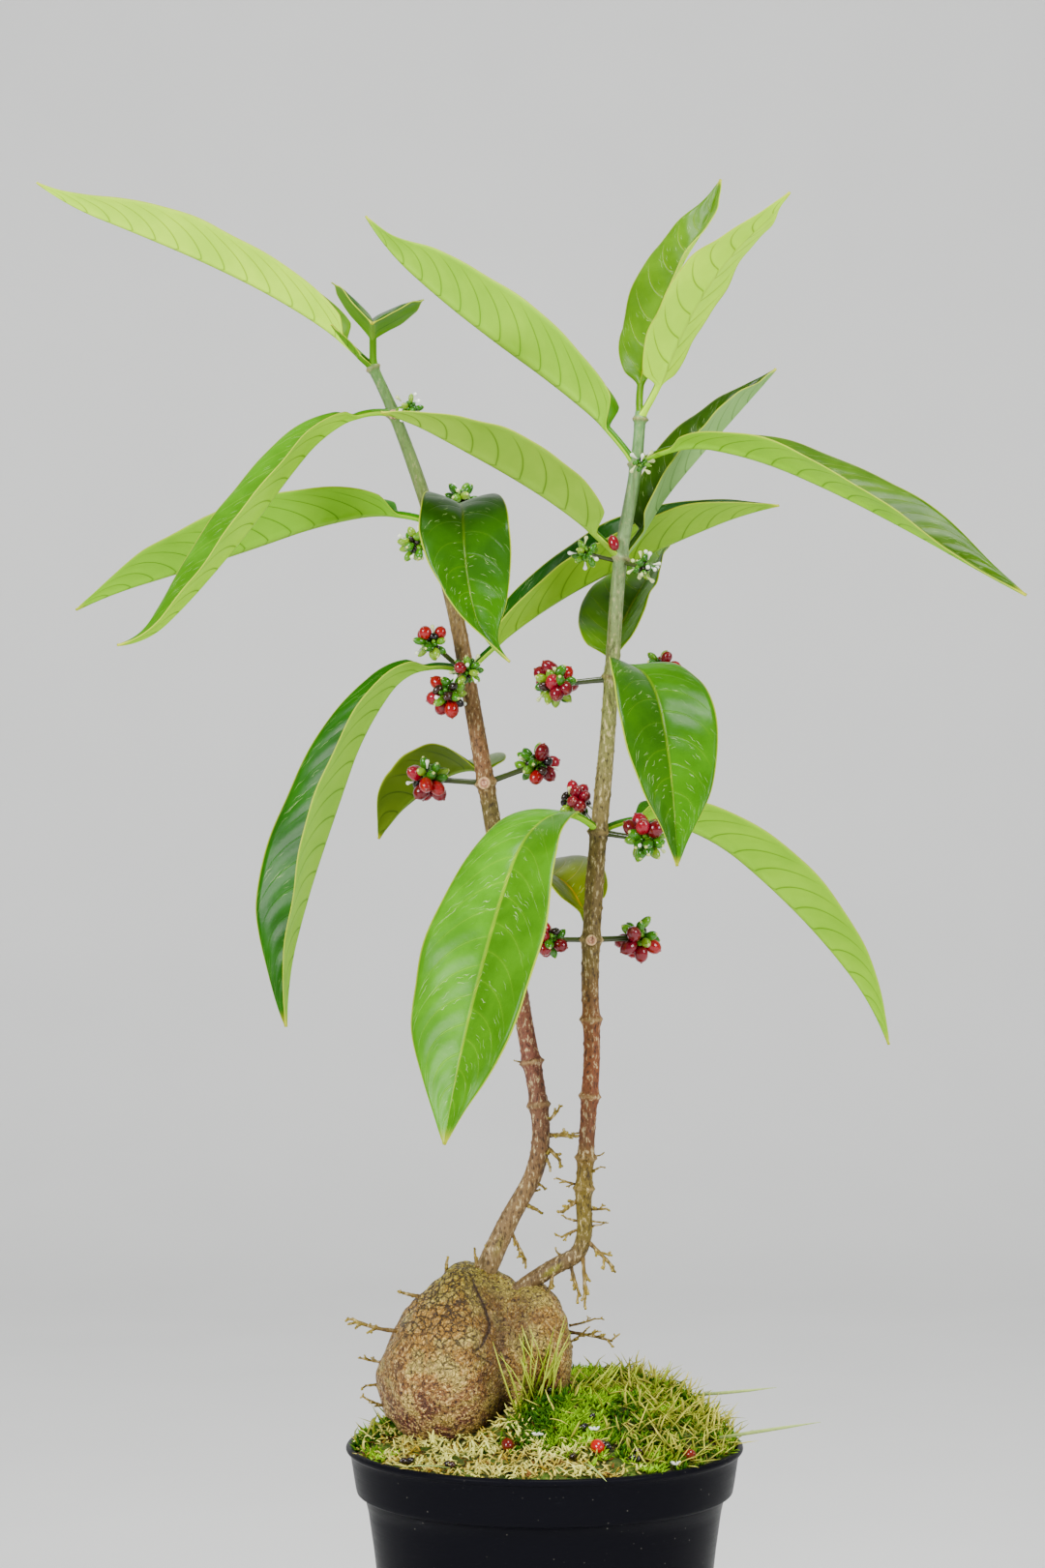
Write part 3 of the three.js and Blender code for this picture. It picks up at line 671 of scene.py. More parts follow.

# Pale golden patches, strongest at mid height and weaker at the crown: partly the bark's own colour, partly
# a painted highlight.
pale = bark.times(bark.step(patch, 0.46, 0.6), bark.math("MULTIPLY_ADD", middle_share, 0.6, 0.3))
fleck_tone = bark.mix(crown, (252, 208, 124), (250, 234, 60))
fine_crack = bark.times(bark.step(small_plates, 0.12, 0.03), 0.6)
plate_crack = bark.times(bark.math("MAXIMUM", bark.step(plates, 0.125, 0.045), fine_crack), upper)
crack_mask = bark.math("MAXIMUM", plate_crack, bark.times(bark.value("crack"), 0.4))
bark_tone = bark.painted(
    bark.mix(middle_share, (118, 62, 50), (208, 152, 54)),
    (crown, 1.0, (190, 178, 10)),
    (pale, bark.math("MULTIPLY_ADD", crown, -0.6, 1.0), (255, 226, 116)),
    (bark.step(patch, 0.42, 0.3), 0.5, (84, 50, 34)),
    (bark.step(flecks, 0.53, 0.6), lower, fleck_tone),
    (bark.step(flecks, 0.47, 0.37), lower, (50, 24, 14)),
    (bark.step(pebbles, 0.13, 0.05), bark.times(lower, 0.66), (56, 30, 16)),
    # Painted shade from the shade attribute, then painted shade on the flanks, which turns them olive.
    (bark.value("shade"), 0.56, (60, 38, 16)),
    (bark.value("flank"), 0.42, (84, 68, 18)),
    (crack_mask, 0.92, (38, 22, 6)))

plate_rise = bark.times(bark.step(plates, 0.0, 0.2), upper)
pebble_rise = bark.times(bark.step(pebbles, 0.0, 0.3), 0.6)
bark_bump = bark.math("ADD", bark.math("ADD", plate_rise, pebble_rise), flecks)
caudex_finish = bark.finish(bark_tone, bark.span(flecks, 0.75, 0.34, 0.35, 0.65), bark_bump, 0.7)
print("the caudex's finish has", len(bark.nodes), "nodes")

# %% [markdown]
# ## Curves for the stems
# Each stem follows a curve through given points. The curve is a cubic on each stretch, whose end
# slopes come from the neighbouring points, with each gap weighted by the square root of its length: that
# keeps it from swinging wide at the sharp bend of the right stem. It is then walked at even steps.

# %% Routes of the stems
STEMS = {
    "left": {
        "route": [
            (-24, 0, 156), (-12, 1, 182), (-3.5, 3, 198), (-1.3, 4, 209), (-2.4, 5, 223), (-6.5, 7, 246),
            (-17.5, 8, 315), (-24, 8, 352), (-29, 8, 380), (-39, 8, 418), (-49.8, 8, 448), (-58, 8, 466),
        ],
        "radii": [3.9, 3, 2.9, 2.85, 2.8, 2.75, 2.5, 2.1, 1.6],
        "nodes": [220, 234, 326, 362.5, 412, 448, 463],
    },
    "right": {
        "route": [
            (-14, -4, 156), (-4.8, -4, 163), (4, -5, 168.6), (10.5, -6, 172.5), (12.8, -7, 179),
            (12.6, -8, 191), (14, -8, 216), (15.3, -8, 238), (14.8, -8, 262), (16, -8, 291),
            (19.8, -8, 335), (21.8, -8, 362), (24.5, -8, 398), (29.5, -8, 428), (31.2, -8, 447),
        ],
        "radii": [2.8, 2.6, 2.6, 2.8, 2.9, 2.6, 2.35, 2.2, 1.7],
        "nodes": [194, 204, 224, 249, 275, 310, 360.5, 399, 429.5, 444.5],
    },
}


def smooth_route(points, fine=60):
    """The curve described above, as many close points: a cubic in t on each stretch, from its two end
    places and its two end slopes."""
    points = np.array(points, float)
    padded = np.concatenate([[2 * points[0] - points[1]], points, [2 * points[-1] - points[-2]]])
    gap = np.sqrt(np.linalg.norm(np.diff(padded, axis=0), axis=1))[:, None]
    p0, p1, p2, p3 = padded[:-3], padded[1:-2], padded[2:-1], padded[3:]
    g0, g1, g2 = gap[:-2], gap[1:-1], gap[2:]
    slope1 = ((p1 - p0) / g0 - (p2 - p0) / (g0 + g1) + (p2 - p1) / g1) * g1
    slope2 = ((p2 - p1) / g1 - (p3 - p1) / (g1 + g2) + (p3 - p2) / g2) * g1
    t = np.linspace(0, 1, fine, endpoint=False)[:, None, None]
    square, cube = 3 * (p2 - p1) - 2 * slope1 - slope2, 2 * (p1 - p2) + slope1 + slope2
    curve = p1 + slope1 * t + square * t ** 2 + cube * t ** 3
    return np.concatenate([curve.transpose(1, 0, 2).reshape(-1, 3), points[-1:]])


class Stem:
    """A stem's middle line by length, with its radius and its leaf nodes."""

    def __init__(self, route, radii, nodes):
        self.curve = smooth_route(route)
        walked = np.linalg.norm(np.diff(self.curve, axis=0), axis=1)
        self.walk = np.concatenate([[0], np.cumsum(walked)])
        self.length = self.walk[-1]
        self.radii = radii
        self.nodes = self.walk_to(nodes)

    def walk_to(self, height):
        """How many millimetres along the middle line a height is."""
        return np.interp(height, self.curve[:, 2], self.walk)

    def place(self, walk):
        """The point of the middle line after so many millimetres."""
        return between_rows(walk, self.walk, self.curve)

    def radius(self, walk):
        """The tapering radius, with a swelling exp(−(distance / 2 mm)²) at each node."""
        swelling = hill((walk[:, None] - self.nodes) / 2).sum(1)
        return along_steps(self.radii, walk / self.length) * (1 + 0.28 * np.minimum(swelling, 1))


stems = {side: Stem(**STEMS[side]) for side in STEMS}
for side, stem in stems.items():
    print(side, "stem:", stem.length.round(1), "mm long")

# %% [markdown]
# ## The stems' bark
# A stem is a round tube with the true taper, but its bark is alive with detail: a ring of old stipules
# round each node, ridges that run along it, and small warts. All of these are added to the radius as
# functions of the distance walked and the angle round. The colour runs from damp brown at the foot over
# reddish and tan brown to grey green near the tip, and is stored on the mesh.

# %% The stems
BARK_TONES = {
    "left": [
        (150, (112, 96, 40)), (170, (122, 98, 62)), (196, (116, 88, 54)), (212, (102, 70, 48)),
        (236, (108, 62, 48)), (262, (112, 66, 42)), (318, (92, 80, 36)), (332, (128, 88, 56)),
        (372, (120, 92, 52)), (404, (98, 92, 44)), (424, (98, 118, 58)), (468, (84, 126, 62)),
    ],
    "right": [
        (150, (100, 76, 44)), (172, (100, 80, 50)), (180, (106, 92, 30)), (200, (108, 88, 30)),
        (210, (96, 58, 32)), (228, (122, 68, 40)), (246, (120, 70, 36)), (268, (100, 82, 38)),
        (304, (104, 86, 44)), (318, (116, 102, 56)), (360, (114, 122, 60)), (402, (118, 146, 92)),
        (450, (98, 148, 78)),
    ],
}
STEM_SIDES = 36
STEM_STEP = 0.42
CRUST_TONE, CRUST_SHARE = (164, 138, 88), 0.75
FOOT_MOSS_TONE, FOOT_MOSS_SHARE = (136, 138, 14), {"left": 0.35, "right": 0.8}


def stem_shape(side):
    """Rings square to the path. The radius is the taper, plus a collar and a groove at each node, plus
    ridges cos(5 · angle) and ripples of two sizes."""
    stem = stems[side]
    walk = np.arange(0, stem.length, STEM_STEP)
    middle = stem.place(walk)
    height = middle[:, 2, None]
    along = unit(np.gradient(middle, axis=0))
    left = unit(np.cross([0.0, 1.0, 0.0], along))
    angle = round_angles(STEM_SIDES)
    cosine, sine = np.cos(angle), np.sin(angle)
    away = cosine[:, None] * left[:, None] + sine[:, None] * np.cross(along, left)[:, None]

    off = np.abs(walk[:, None] - stem.nodes).min(1)[:, None]
    collar = 0.42 * hill(off / 0.55) - 0.16 * hill((off - 1.5) / 0.6)
    young = smooth(330, 430, height)
    unrolled = np.stack(np.broadcast_arrays(cosine * 3, sine * 3, walk[:, None]), -1)
    streaks = ripple(unrolled * [1, 1, 0.12], 1.5, seed=21)
    warts = np.maximum(ripple(unrolled, 1.3, seed=22), 0.35) - 0.35
    ridges = np.cos(5 * angle + walk[:, None] / 60)
    ragged = collar * (1 + 0.45 * ripple(unrolled, 1.1, seed=23))
    relief = ragged + 0.1 * ridges * young + (0.14 - 0.08 * young) * streaks + 0.3 * warts * (1 - young)
    rings = middle[:, None] + away * (stem.radius(walk)[:, None] + relief)[..., None]

    heights, tones = zip(*BARK_TONES[side])
    tone = between_rows(middle[:, 2], heights, colour(tones))[:, None]
    crust = np.clip(hill(off / 0.7) * (0.6 + 0.4 * streaks), 0, 1) * CRUST_SHARE
    mossy = smooth(0.2, 0.9, ripple(unrolled * [1, 1, 0.2], 2.5, seed=24)) * smooth(204, 196, height)
    tone = blend(tone, colour(CRUST_TONE), crust[..., None])
    tone = blend(tone, colour(FOOT_MOSS_TONE), (mossy * FOOT_MOSS_SHARE[side])[..., None])
    return skin(rings[None], bark_tone=tone[None], young=young)


PLAIN = np.zeros((1, 1))  # an attribute that is 0 everywhere
SCARS = {"left": [(447.5, 262, 3.2), (326, 262, 4.2)], "right": [(275, 268, 3.6)]}
SCAR_THICKNESS, SCAR_SIDES = 1.3, 18
SCAR_FORM = [(0.8, -1), (1, -0.2), (0.94, 0.5), (0.72, 0.72), (0.5, 0.5), (0.3, 0.85), (0.1, 0.9)]
SCAR_TONES = [(120, 84, 54), (150, 106, 70), (216, 176, 126), (200, 150, 110), (150, 92, 70),
              (214, 160, 130), (170, 110, 84)]


def scars(side):
    """Round scars of fallen leaves: shallow lathe forms that face outwards from the bark."""
    height, heading, width = np.array(SCARS[side], float).T
    walk = stems[side].walk_to(height)
    out = direction(heading, 0)
    middle = stems[side].place(walk) + out * stems[side].radius(walk)[:, None]
    tone = colour(SCAR_TONES)[None, :, None]
    rings = spindles(middle, out, SCAR_THICKNESS, width, SCAR_FORM, SCAR_SIDES)
    return skin(rings, bark_tone=tone, young=PLAIN)


stem_bark = Finish("stem_bark", Specular_IOR_Level=0.3)
speckle = stem_bark.noise(1000.0, 3.0, stretch=(1, 1, 0.4), rough=0.65)
streak = stem_bark.noise(500.0, 3.0, stretch=(1, 1, 0.08))
young = stem_bark.value("young")
old_share = stem_bark.math("MULTIPLY_ADD", young, -0.7, 1.0)
pale_speck = stem_bark.times(stem_bark.step(speckle, 0.54, 0.66), 0.6)
dark_speck = stem_bark.times(stem_bark.step(speckle, 0.47, 0.34), 0.8)
stem_tone = stem_bark.painted(
    stem_bark.stored("bark_tone"),
    (pale_speck, old_share, (214, 192, 140)),
    (dark_speck, old_share, (40, 28, 16)),
    (stem_bark.step(streak, 0.5, 0.7), 0.35, (78, 62, 40)))
stem_finish = stem_bark.finish(stem_tone, stem_bark.span(young, 0.6, 0.42), speckle, 0.25)
print("the stems' finish has", len(stem_bark.nodes), "nodes")

# %% [markdown]
# ## Aerial rootlets
# Short rootlets sprout from the caudex and from the bends of the stems. Each is a small tree: a wavy main
# root, side roots that leave it by turns, and stubby twigs on those. A seeded rule grows them from one
# start, so a rootlet needs only a place, a direction and a length. The rootlets of each stem are joined
# into that stem's mesh, and those of the caudex make a mesh of their own.

# %% Rootlets
ROOTLETS = {  # where each starts, its heading and climb, its length and its radius
    "caudex": [
        ((-47, -4, 147), 182, 2, 17, 0.8), ((-52, 0, 136), 178, 4, 8, 0.55),
        ((-52, 2, 129), 184, -10, 7, 0.6), ((8, 0, 146), 4, -8, 15, 0.6),
        ((-32, -2, 165), 130, 80, 4.5, 0.8), ((-50, -4, 122), 186, 10, 9, 0.6),
        ((6, -2, 142), 350, 24, 9, 0.5), ((-22, -6, 168), 130, 70, 4.5, 0.7),
        ((4, -6, 134), 340, -30, 8, 0.4), ((-40, -4, 158), 176, 10, 6.5, 0.8),
        ((8, 1, 148), 10, 8, 9, 0.45),
    ],
    "left": [
        ((-8, 2, 189), 350, -36, 6.5, 0.9), ((-5, 3, 196), 345, -30, 5, 0.7),
        ((-12, 1, 181), 330, -62, 13, 0.7), ((-1.3, 4, 210), 355, 4, 11, 0.95),
        ((-1.2, 4, 208), 330, -34, 9, 0.9), ((-0.5, 3, 205), 335, -62, 6, 0.7),
        ((-1.5, 4, 213), 0, 34, 8, 0.7), ((-5.5, 6, 234), 190, -2, 4, 0.4),
        ((-6, 3, 192), 352, 0, 4, 0.6), ((-17, 0, 171), 200, 40, 4, 0.5),
    ],
    "right": [
        ((8, -5, 171), 300, -70, 12, 0.75), ((3, -5, 168), 250, -66, 10, 0.7),
        ((12.7, -7, 178), 335, -40, 14, 0.8), ((12.6, -7, 181), 195, -14, 8, 0.6),
        ((12.6, -8, 191), 190, -24, 8.5, 0.95), ((12.6, -8, 187), 352, 4, 8, 0.55),
        ((12, -7, 175), 300, -78, 17, 0.8), ((12.6, -8, 183), 185, 12, 6, 0.5),
        ((12.6, -8, 181), 2, 18, 6, 0.4), ((13.2, -8, 204), 10, 10, 5, 0.45),
        ((12.8, -8, 195), 180, 6, 9, 0.5), ((12.6, -8, 184), 355, -14, 7, 0.4),
        ((6, -5, 170), 200, 60, 4, 0.5), ((13.4, -8, 212), 186, 8, 4, 0.4),
        ((13, -8, 199), 350, 16, 6, 0.45),
    ],
}
ROOT_TONES = ((96, 70, 34), (158, 138, 46))
SIDE_ROOT_GAP = 2.4
SIDE_ROOT_SHARE, TWIG_SHARE = 0.66, 0.55  # how thick they are, as shares of the main root


def root_skin(rings, pale):
    """A skin whose colour goes half of the way from brown to pale, starting at the share given."""
    share = np.linspace(pale, pale + 0.5, rings.shape[1])[None, :, None, None]
    return skin(rings, bark_tone=blend(*colour(ROOT_TONES), share), young=PLAIN)


def rootlet_tree(start, heading, climb, length, radius, seed):
    """A main root, side roots that leave it left and right by turns, and two twigs on each of those."""
    dice = np.random.default_rng(seed)
    main = strands(start, heading, climb, length, radius, dice.uniform(-25, 25), dice.uniform(-25, 25),
                   taper=(1.3, 0.9, 1, 0.75, 0.9, 0.7, 0.85, 0.6, 0.7), rows=9, sides=7)
    count = max(2, int(length / SIDE_ROOT_GAP))
    forks = between_rows(np.linspace(0.35, 0.97, count), np.linspace(0, 1, 9), main[0].mean(1))
    turns = np.where(np.arange(count) % 2, 1, -1) * dice.uniform(30, 65, count)
    side_length = (0.8 + 0.2 * length) * dice.uniform(0.6, 1.1, count)
    side_climb = climb + dice.uniform(-30, 30, count)
    side_roots = strands(forks, heading + turns, side_climb, side_length, radius * SIDE_ROOT_SHARE,
                         dice.uniform(-20, 20, count), taper=(1, 0.75, 0.9, 0.75, 0.95), rows=5, sides=6)
    tips = np.repeat(side_roots[:, 3].mean(1), 2, 0)
    tip_heading = heading + np.repeat(turns, 2) + np.tile([-38, 42], count)
    tip_climb = np.repeat(side_climb, 2) + dice.uniform(-35, 35, 2 * count)
    twigs = strands(tips, tip_heading, tip_climb, np.repeat(side_length, 2) * 0.5, radius * TWIG_SHARE,
                    taper=(0.8, 0.75, 1, 0.8), rows=4, sides=5)
    return [root_skin(main, 0.0), root_skin(side_roots, 0.25), root_skin(twigs, 0.5)]


def all_rootlets(where):
    """Every rootlet of one carrier."""
    trees = [rootlet_tree(*row, seed=100 + 17 * i + len(where)) for i, row in enumerate(ROOTLETS[where])]
    return sum(trees, [])


for side in stems:
    whole = joined([stem_shape(side), scars(side), *all_rootlets(side)])
    make_piece(f"{side}_stem_bark", whole, stem_finish, "stem_bark", f"{side}_stem_foot", f"{side}_stem")

make_piece("caudex_skin", caudex_shape, caudex_finish, "caudex_bark", "caudex")
make_piece("caudex_rootlets", joined(all_rootlets("caudex")), stem_finish, "caudex_bark")

# %% [markdown]
# ## Leaves
# A leaf of this plant is a thick, leathery blade, folded like a shallow gutter along its midrib, with a
# drawn-out tip. It is one flattened tube. Going along it, the midrib follows a heading and a climb that
# change at even steps. Going across it, the blade rises from the midrib at its own angle on either side.
# The outline is a power of a sine. On top of that come the things that make it alive: a wavy margin, a
# faint pillow between the side veins, a groove over the midrib and a rib under it.
#
# A row of the table says: the height of the leaf's node on its stem, the leaf's length and half width,
# the angle at which its left and right halves rise, its green, the height of its waves, and the headings
# and climbs of its midrib. What follows by name differs from the usual: how blunt its base is, where it
# is widest, the length of its stalk, how far it rolls, and the painted light and shade on its upper side,
# along the leaf and on its two halves. A green is the colour of the upper side and that of the lower side.

# %% The table of leaves
# The undersides of the lime and young leaves are as bright as a colour can be: partly their own pale green,
# partly painted light that shines through the thin blades.
GREENS = {
    "lime": ((120, 170, 4), (198, 255, 4)), "young": ((90, 136, 0), (200, 255, 8)),
    "spring": ((80, 142, 0), (156, 214, 20)), "fresh": ((74, 112, 0), (136, 196, 8)),
    "grass": ((60, 130, 0), (124, 184, 4)), "leaf": ((50, 108, 0), (140, 198, 14)),
    "bright": ((82, 150, 2), (136, 196, 20)), "deep": ((42, 84, 0), (134, 176, 40)),
    "broad": ((54, 104, 0), (134, 176, 40)), "glossy": ((38, 98, 0), (138, 190, 50)),
    "dark": ((26, 74, 0), (134, 182, 32)), "shaded": ((48, 80, 0), (132, 176, 96)),
    "olive": ((92, 122, 0), (84, 106, 0)), "turning": ((104, 118, 0), (106, 116, 0)),
    "opening": ((40, 80, 4), (84, 134, 12)),
}
Leaf = namedtuple("Leaf", "at length half lift green wave heading climb base belly stalk roll sheen halves",
                  defaults=(0.45, 0.82, 12.0, (0, 0), (1, 1), (1, 1)))
LEAVES = {
    "left": [
        Leaf(463, 147, 15.5, (56, 38), "young", 0.5, (158, 155), (44, 32, 26, 23, 22, 35)),
        Leaf(463, 55, 18, (22, 43), "opening", 0.4, (272, 272), (76, 20, 2, -10, -16)),
        Leaf(448, 126, 15, (30, 42), "spring", 0.4, (200, 198), (8, -30, -51, -54, -51, -49, -44, -4),
             base=0.7),
        Leaf(412, 142, 17, (52, 34), "grass", 0.5, (152, 158), (20, -7, -16, -15, -14, -22), base=0.6),
        Leaf(412, 98, 15.5, (20, 22), "deep", 0.6, (318, 274, 273, 292, 352), (30, -2, -38, -60, -60, -36),
             sheen=(0.64, 0.78, 1.6, 2)),
        Leaf(362.5, 145, 19.5, (37, 51), "glossy", 0.5, (194, 192, 196, 204, 208),
             (26, -54, -71, -71, -75, -90), base=0.55, belly=1.1),
        Leaf(362.5, 124, 17.5, (56, 42), "dark", 0.5, (8, 20), (46, 36, 28, 24, 22, 12), belly=1),
        Leaf(326, 74, 16.5, (34, 22), "olive", 0.4, (88, 122, 150, 136), (24, 6, -20, -38, -48)),
    ],
    "right": [
        Leaf(445, 92, 16, (17, 2), "lime", 0.6, (314, 320), (46, 61, 54, 44, 31, 44)),
        Leaf(445, 95, 13, (30, 30), "young", 0.5, (100, 32, 36, 66), (60, 72, 62, 50, 64), base=0.6),
        Leaf(429.5, 138, 18.5, (74, 34), "spring", 0.5, (150, 150), (54, 38, 34, 36, 40, 56), stalk=15.5),
        Leaf(429.5, 145, 14.5, (37, 32), "fresh", 0.4, (332, 336), (30, -12, -24, -28, -30, -28),
             base=0.8, roll=(0, 0, 0, 7, 20, 28)),
        Leaf(399, 97, 15, (42, 32), "broad", 0.5, (210, 204), (42, 33, 27, 24, 24, 12)),
        Leaf(399, 90, 14, (36, 46), "shaded", 0.4, (30, 32), (46, 54, 46, 44, 44, 46)),
        Leaf(360.5, 97, 17, (12, 20), "broad", 0.4, (298, 283, 292), (26, -14, -44, -64, -78, -84),
             sheen=(0.9, 1, 1.35), halves=(1.25, 0.8)),
        Leaf(360.5, 84, 16, (20, 42), "fresh", 0.5, (92, 74, 58, 52), (34, 32, 42, 48), sheen=(1.3, 1.5)),
        Leaf(310, 147, 22, (6, 12), "bright", 0.6, (226, 241, 232, 236), (38, -20, -58, -66, -70, -74),
             belly=1.3, halves=(0.72, 1)),
        Leaf(310, 138, 15.5, (42, 44), "leaf", 0.4, (22, 18), (28, -16, -38, -44, -51, -68)),
        Leaf(275, 80, 16, (25, 25), "turning", 0.4, (105, 142), (52, 34, 4, -24, -40)),
    ],
}
BUD = Leaf(463, 20, 1.5, (40, 40), "opening", 0.0, (214, 176), (34, 54))
print("leaves:", sum(len(rows) for rows in LEAVES.values()))

# %% The shape of a leaf
PETIOLE_RADIUS = 1.2
BLADE_THICKNESS = 0.6
TIP_POWER = 0.78  # how blunt the outer half of a blade is
VEIN_GAP = 10.5
LEAF_ROWS, STALK_ROWS, HALF_RING = 140, 14, 31


def blade_width(share, belly, base):
    """The half width along the blade: sin(π · share^belly), to a power that goes from base to that of the
    tip, drawn in towards the tip. The belly sets where it is widest, and a low base makes a round one."""
    share = np.clip(share, 0, 1)
    oval = np.sin(np.pi * share ** belly) ** (base + (TIP_POWER - base) * smooth(0, 0.5, share))
    return oval * (1 - 0.4 * smooth(0.72, 1, share))


def midrib(row, stem, share, steps=400):
    """The leaf's middle line adds up equal steps, each in the direction of its heading and climb."""
    fine = np.linspace(0, 1, steps + 1)
    centre = (fine[1:] + fine[:-1]) / 2
    step = direction(along_steps(row.heading, centre), along_steps(row.climb, centre))
    path = np.concatenate([np.zeros((1, 3)), np.cumsum(step * row.length / steps, 0)])
    place = between_rows(share, fine, path) + stem.place(stem.walk_to(row.at))
    heading = along_steps(row.heading, share)
    left = direction(heading + 90, 0)
    return place, left, np.cross(direction(heading, along_steps(row.climb, share)), left)


def fold(lift, across, curl=9.0, steps=64):
    """How far out and how far up a half blade reaches at a share of its width. It climbs at the lift
    angle, which grows by the curl towards the margin, and its small steps are added up."""
    fine = np.linspace(0, 1, steps + 1)
    angle = np.radians(lift + curl * (1 / 3 - fine ** 2))
    out, rise = (np.cumsum([0, *part[1:] / steps]) for part in (np.cos(angle), np.sin(angle)))
    return [np.interp(across, fine, values) for values in (out, rise, angle)]


def leaf_shape(row, stem, seed):
    """The flattened tube of one leaf, with attributes that say where on the blade a point is."""
    stalk = min(row.stalk / row.length, 0.3)
    share = np.concatenate([np.linspace(0, stalk, STALK_ROWS, endpoint=False),
                            np.linspace(stalk, 1, LEAF_ROWS - STALK_ROWS)])[:, None]
    along = (share - stalk) / (1 - stalk)
    t = np.linspace(1, -1, HALF_RING)
    over = t * (0.7 + 0.3 * t ** 2)
    v = np.concatenate([over, over[::-1]])[None]
    side = np.repeat([1.0, -1.0], HALF_RING)[None]
    size = np.abs(v)

    half = np.maximum(row.half * blade_width(along, row.belly, row.base), 0.45)
    out, rise, angle = (np.where(v > 0, a, b) for a, b in zip(*(fold(lift, size) for lift in row.lift)))
    window = smooth(0.02, 0.25, along) * smooth(1, 0.85, along)
    phase = np.random.default_rng(seed).uniform(0, 2 * np.pi, 4)
    waves = np.sin(2 * np.pi * 2.6 * along + np.where(v > 0, phase[0], phase[1]))
    waves = waves + 0.4 * np.sin(2 * np.pi * 5.3 * along + np.where(v > 0, phase[2], phase[3]))
    lifted = row.wave * waves * size ** 2.2 * window

    veins = max(4, round(row.length / VEIN_GAP))
    vein = veins * (along - 0.05 * size - 0.13 * size ** 2.6) + 0.5 * smooth(-0.05, 0.05, v)
    pillow = 0.22 * (1 - np.cos(2 * np.pi * vein)) / 2 * smooth(1, 0.7, size) * smooth(0, 0.2, size) * window

    thick = BLADE_THICKNESS * (1 - 0.5 * size ** 4)
    rib = 0.95 * (1 - 0.75 * smooth(0, 1, along)) * hill(size * half)
    groove = 0.22 * hill(size * half / 0.7) * smooth(1, 0.6, along)
    off = lifted + pillow + np.where(side > 0, thick / 2 - groove, -thick / 2 - rib)
    blade_out = np.sign(v) * (half * out - off * np.sin(angle))
    blade_up = half * rise + off * np.cos(angle)

    turn = np.arccos(np.clip(v, -1, 1)) * side
    opening = smooth(0, 0.05, along)
    width = PETIOLE_RADIUS * (1 + 0.35 * smooth(0.35, 0, share / stalk))
    x = (1 - opening) * np.cos(turn) * width + opening * blade_out
    z = (1 - opening) * np.sin(turn) * width + opening * blade_up
    place, left, up = midrib(row, stem, share[:, 0])
    roll = np.radians(along_steps(row.roll, share))
    left, up = left * np.cos(roll) + up * np.sin(roll), up * np.cos(roll) - left * np.sin(roll)
    rings = place[:, None] + x[..., None] * left[:, None] + z[..., None] * up[:, None]

    upper, lower = colour(GREENS[row.green])
    left_half, right_half = row.halves
    # Painted light and shade: the upper side is made lighter or darker along the leaf and on its left and
    # right halves.
    bright = along_steps(row.sheen, along) * (right_half + (left_half - right_half) * smooth(-0.1, 0.1, v))
    return skin(rings[None], along=along, across=v, vein=vein, underside=(1 - side) / 2,
                upper=(upper * bright[..., None])[None], lower=lower)


print("a leaf has", leaf_shape(BUD, stems["left"], 3)["quads"].shape[0], "quads")

# %% [markdown]
# The finish of a leaf reads where a point is on the blade. Above, it is glossy, with pale side veins, a
# yellow-green midrib and short pale scratches. Below, it is matt and much lighter, with thin dark veins.
# A fine pale line runs along the margin.

# %% The finish of a leaf
leaf = Finish("leaf_blade", Specular_IOR_Level=0.12)
along, across, vein, underside = (leaf.value(name) for name in ("along", "across", "vein", "underside"))
spread = leaf.math("ABSOLUTE", across)
near_vein = leaf.math("ABSOLUTE", leaf.math("SUBTRACT", leaf.math("FRACT", vein), 0.5))
inner = leaf.times(leaf.step(spread, 0.95, 0.7), leaf.step(along, 0.0, 0.06))
fine_vein = leaf.times(leaf.step(near_vein, 0.452, 0.49), inner)
wide_vein = leaf.times(leaf.step(near_vein, 0.36, 0.5), inner)
rib_width = leaf.span(along, 0.06, 0.03)
rib_line = leaf.span(spread, 0.0, 1.0, rib_width, leaf.times(rib_width, 0.4))

slanted = leaf.math("ADD", vein, leaf.times(leaf.noise(260.0, 2.0), 0.5))
blade_place, scratch_place = (leaf.add("CombineXYZ", {"X": column, "Y": across, "Z": along})
                              for column in (vein, slanted))
scratch_cells = leaf.cells(1.0, stretch=(16, 2.6, 1), where=scratch_place)
scratch_patch = leaf.noise(1.0, 2.0, stretch=(0.7, 1.6, 5), where=blade_place)
scratches = leaf.times(leaf.step(scratch_cells, 0.2, 0.1), leaf.step(scratch_patch, 0.36, 0.56))
mottle = leaf.noise(60.0, 4.0, rough=0.55)
fine_mottle = leaf.noise(700.0, 3.0)

above = leaf.stored("upper")
above = leaf.mix(leaf.step(mottle, 0.35, 0.66), leaf.tinted(above, (0.62, 0.68, 0.62)), above)
above = leaf.toned(above, (wide_vein, 0.45, (1.4, 1.2, 1)), (fine_vein, 0.3, (2.2, 1.5, 1)))
above = leaf.painted(above, (scratches, 0.55, (190, 214, 140)))
above = leaf.toned(above, (rib_line, 0.85, (3.4, 1.6, 1.2)))

below = leaf.stored("lower")
below = leaf.mix(leaf.step(mottle, 0.3, 0.7), leaf.tinted(below, (0.82, 0.88, 0.8)), below)
below = leaf.toned(below, (wide_vein, 0.3, (0.62, 0.74, 0.5)), (fine_vein, 0.62, (0.2, 0.3, 0.16)))
below = leaf.painted(below, (rib_line, 0.4, (140, 180, 60)))

leaf_tone = leaf.painted(
    leaf.mix(underside, above, below),
    (leaf.step(spread, 0.965, 0.995), 0.7, (186, 200, 50)),
    (leaf.step(along, 0.955, 1.0), 0.6, (200, 196, 30)))
leaf_bump = leaf.math("SUBTRACT", leaf.times(fine_mottle, 0.5), fine_vein)
leaf_finish = leaf.finish(leaf_tone, leaf.span(underside, 0.3, 0.6), leaf_bump, 0.08)

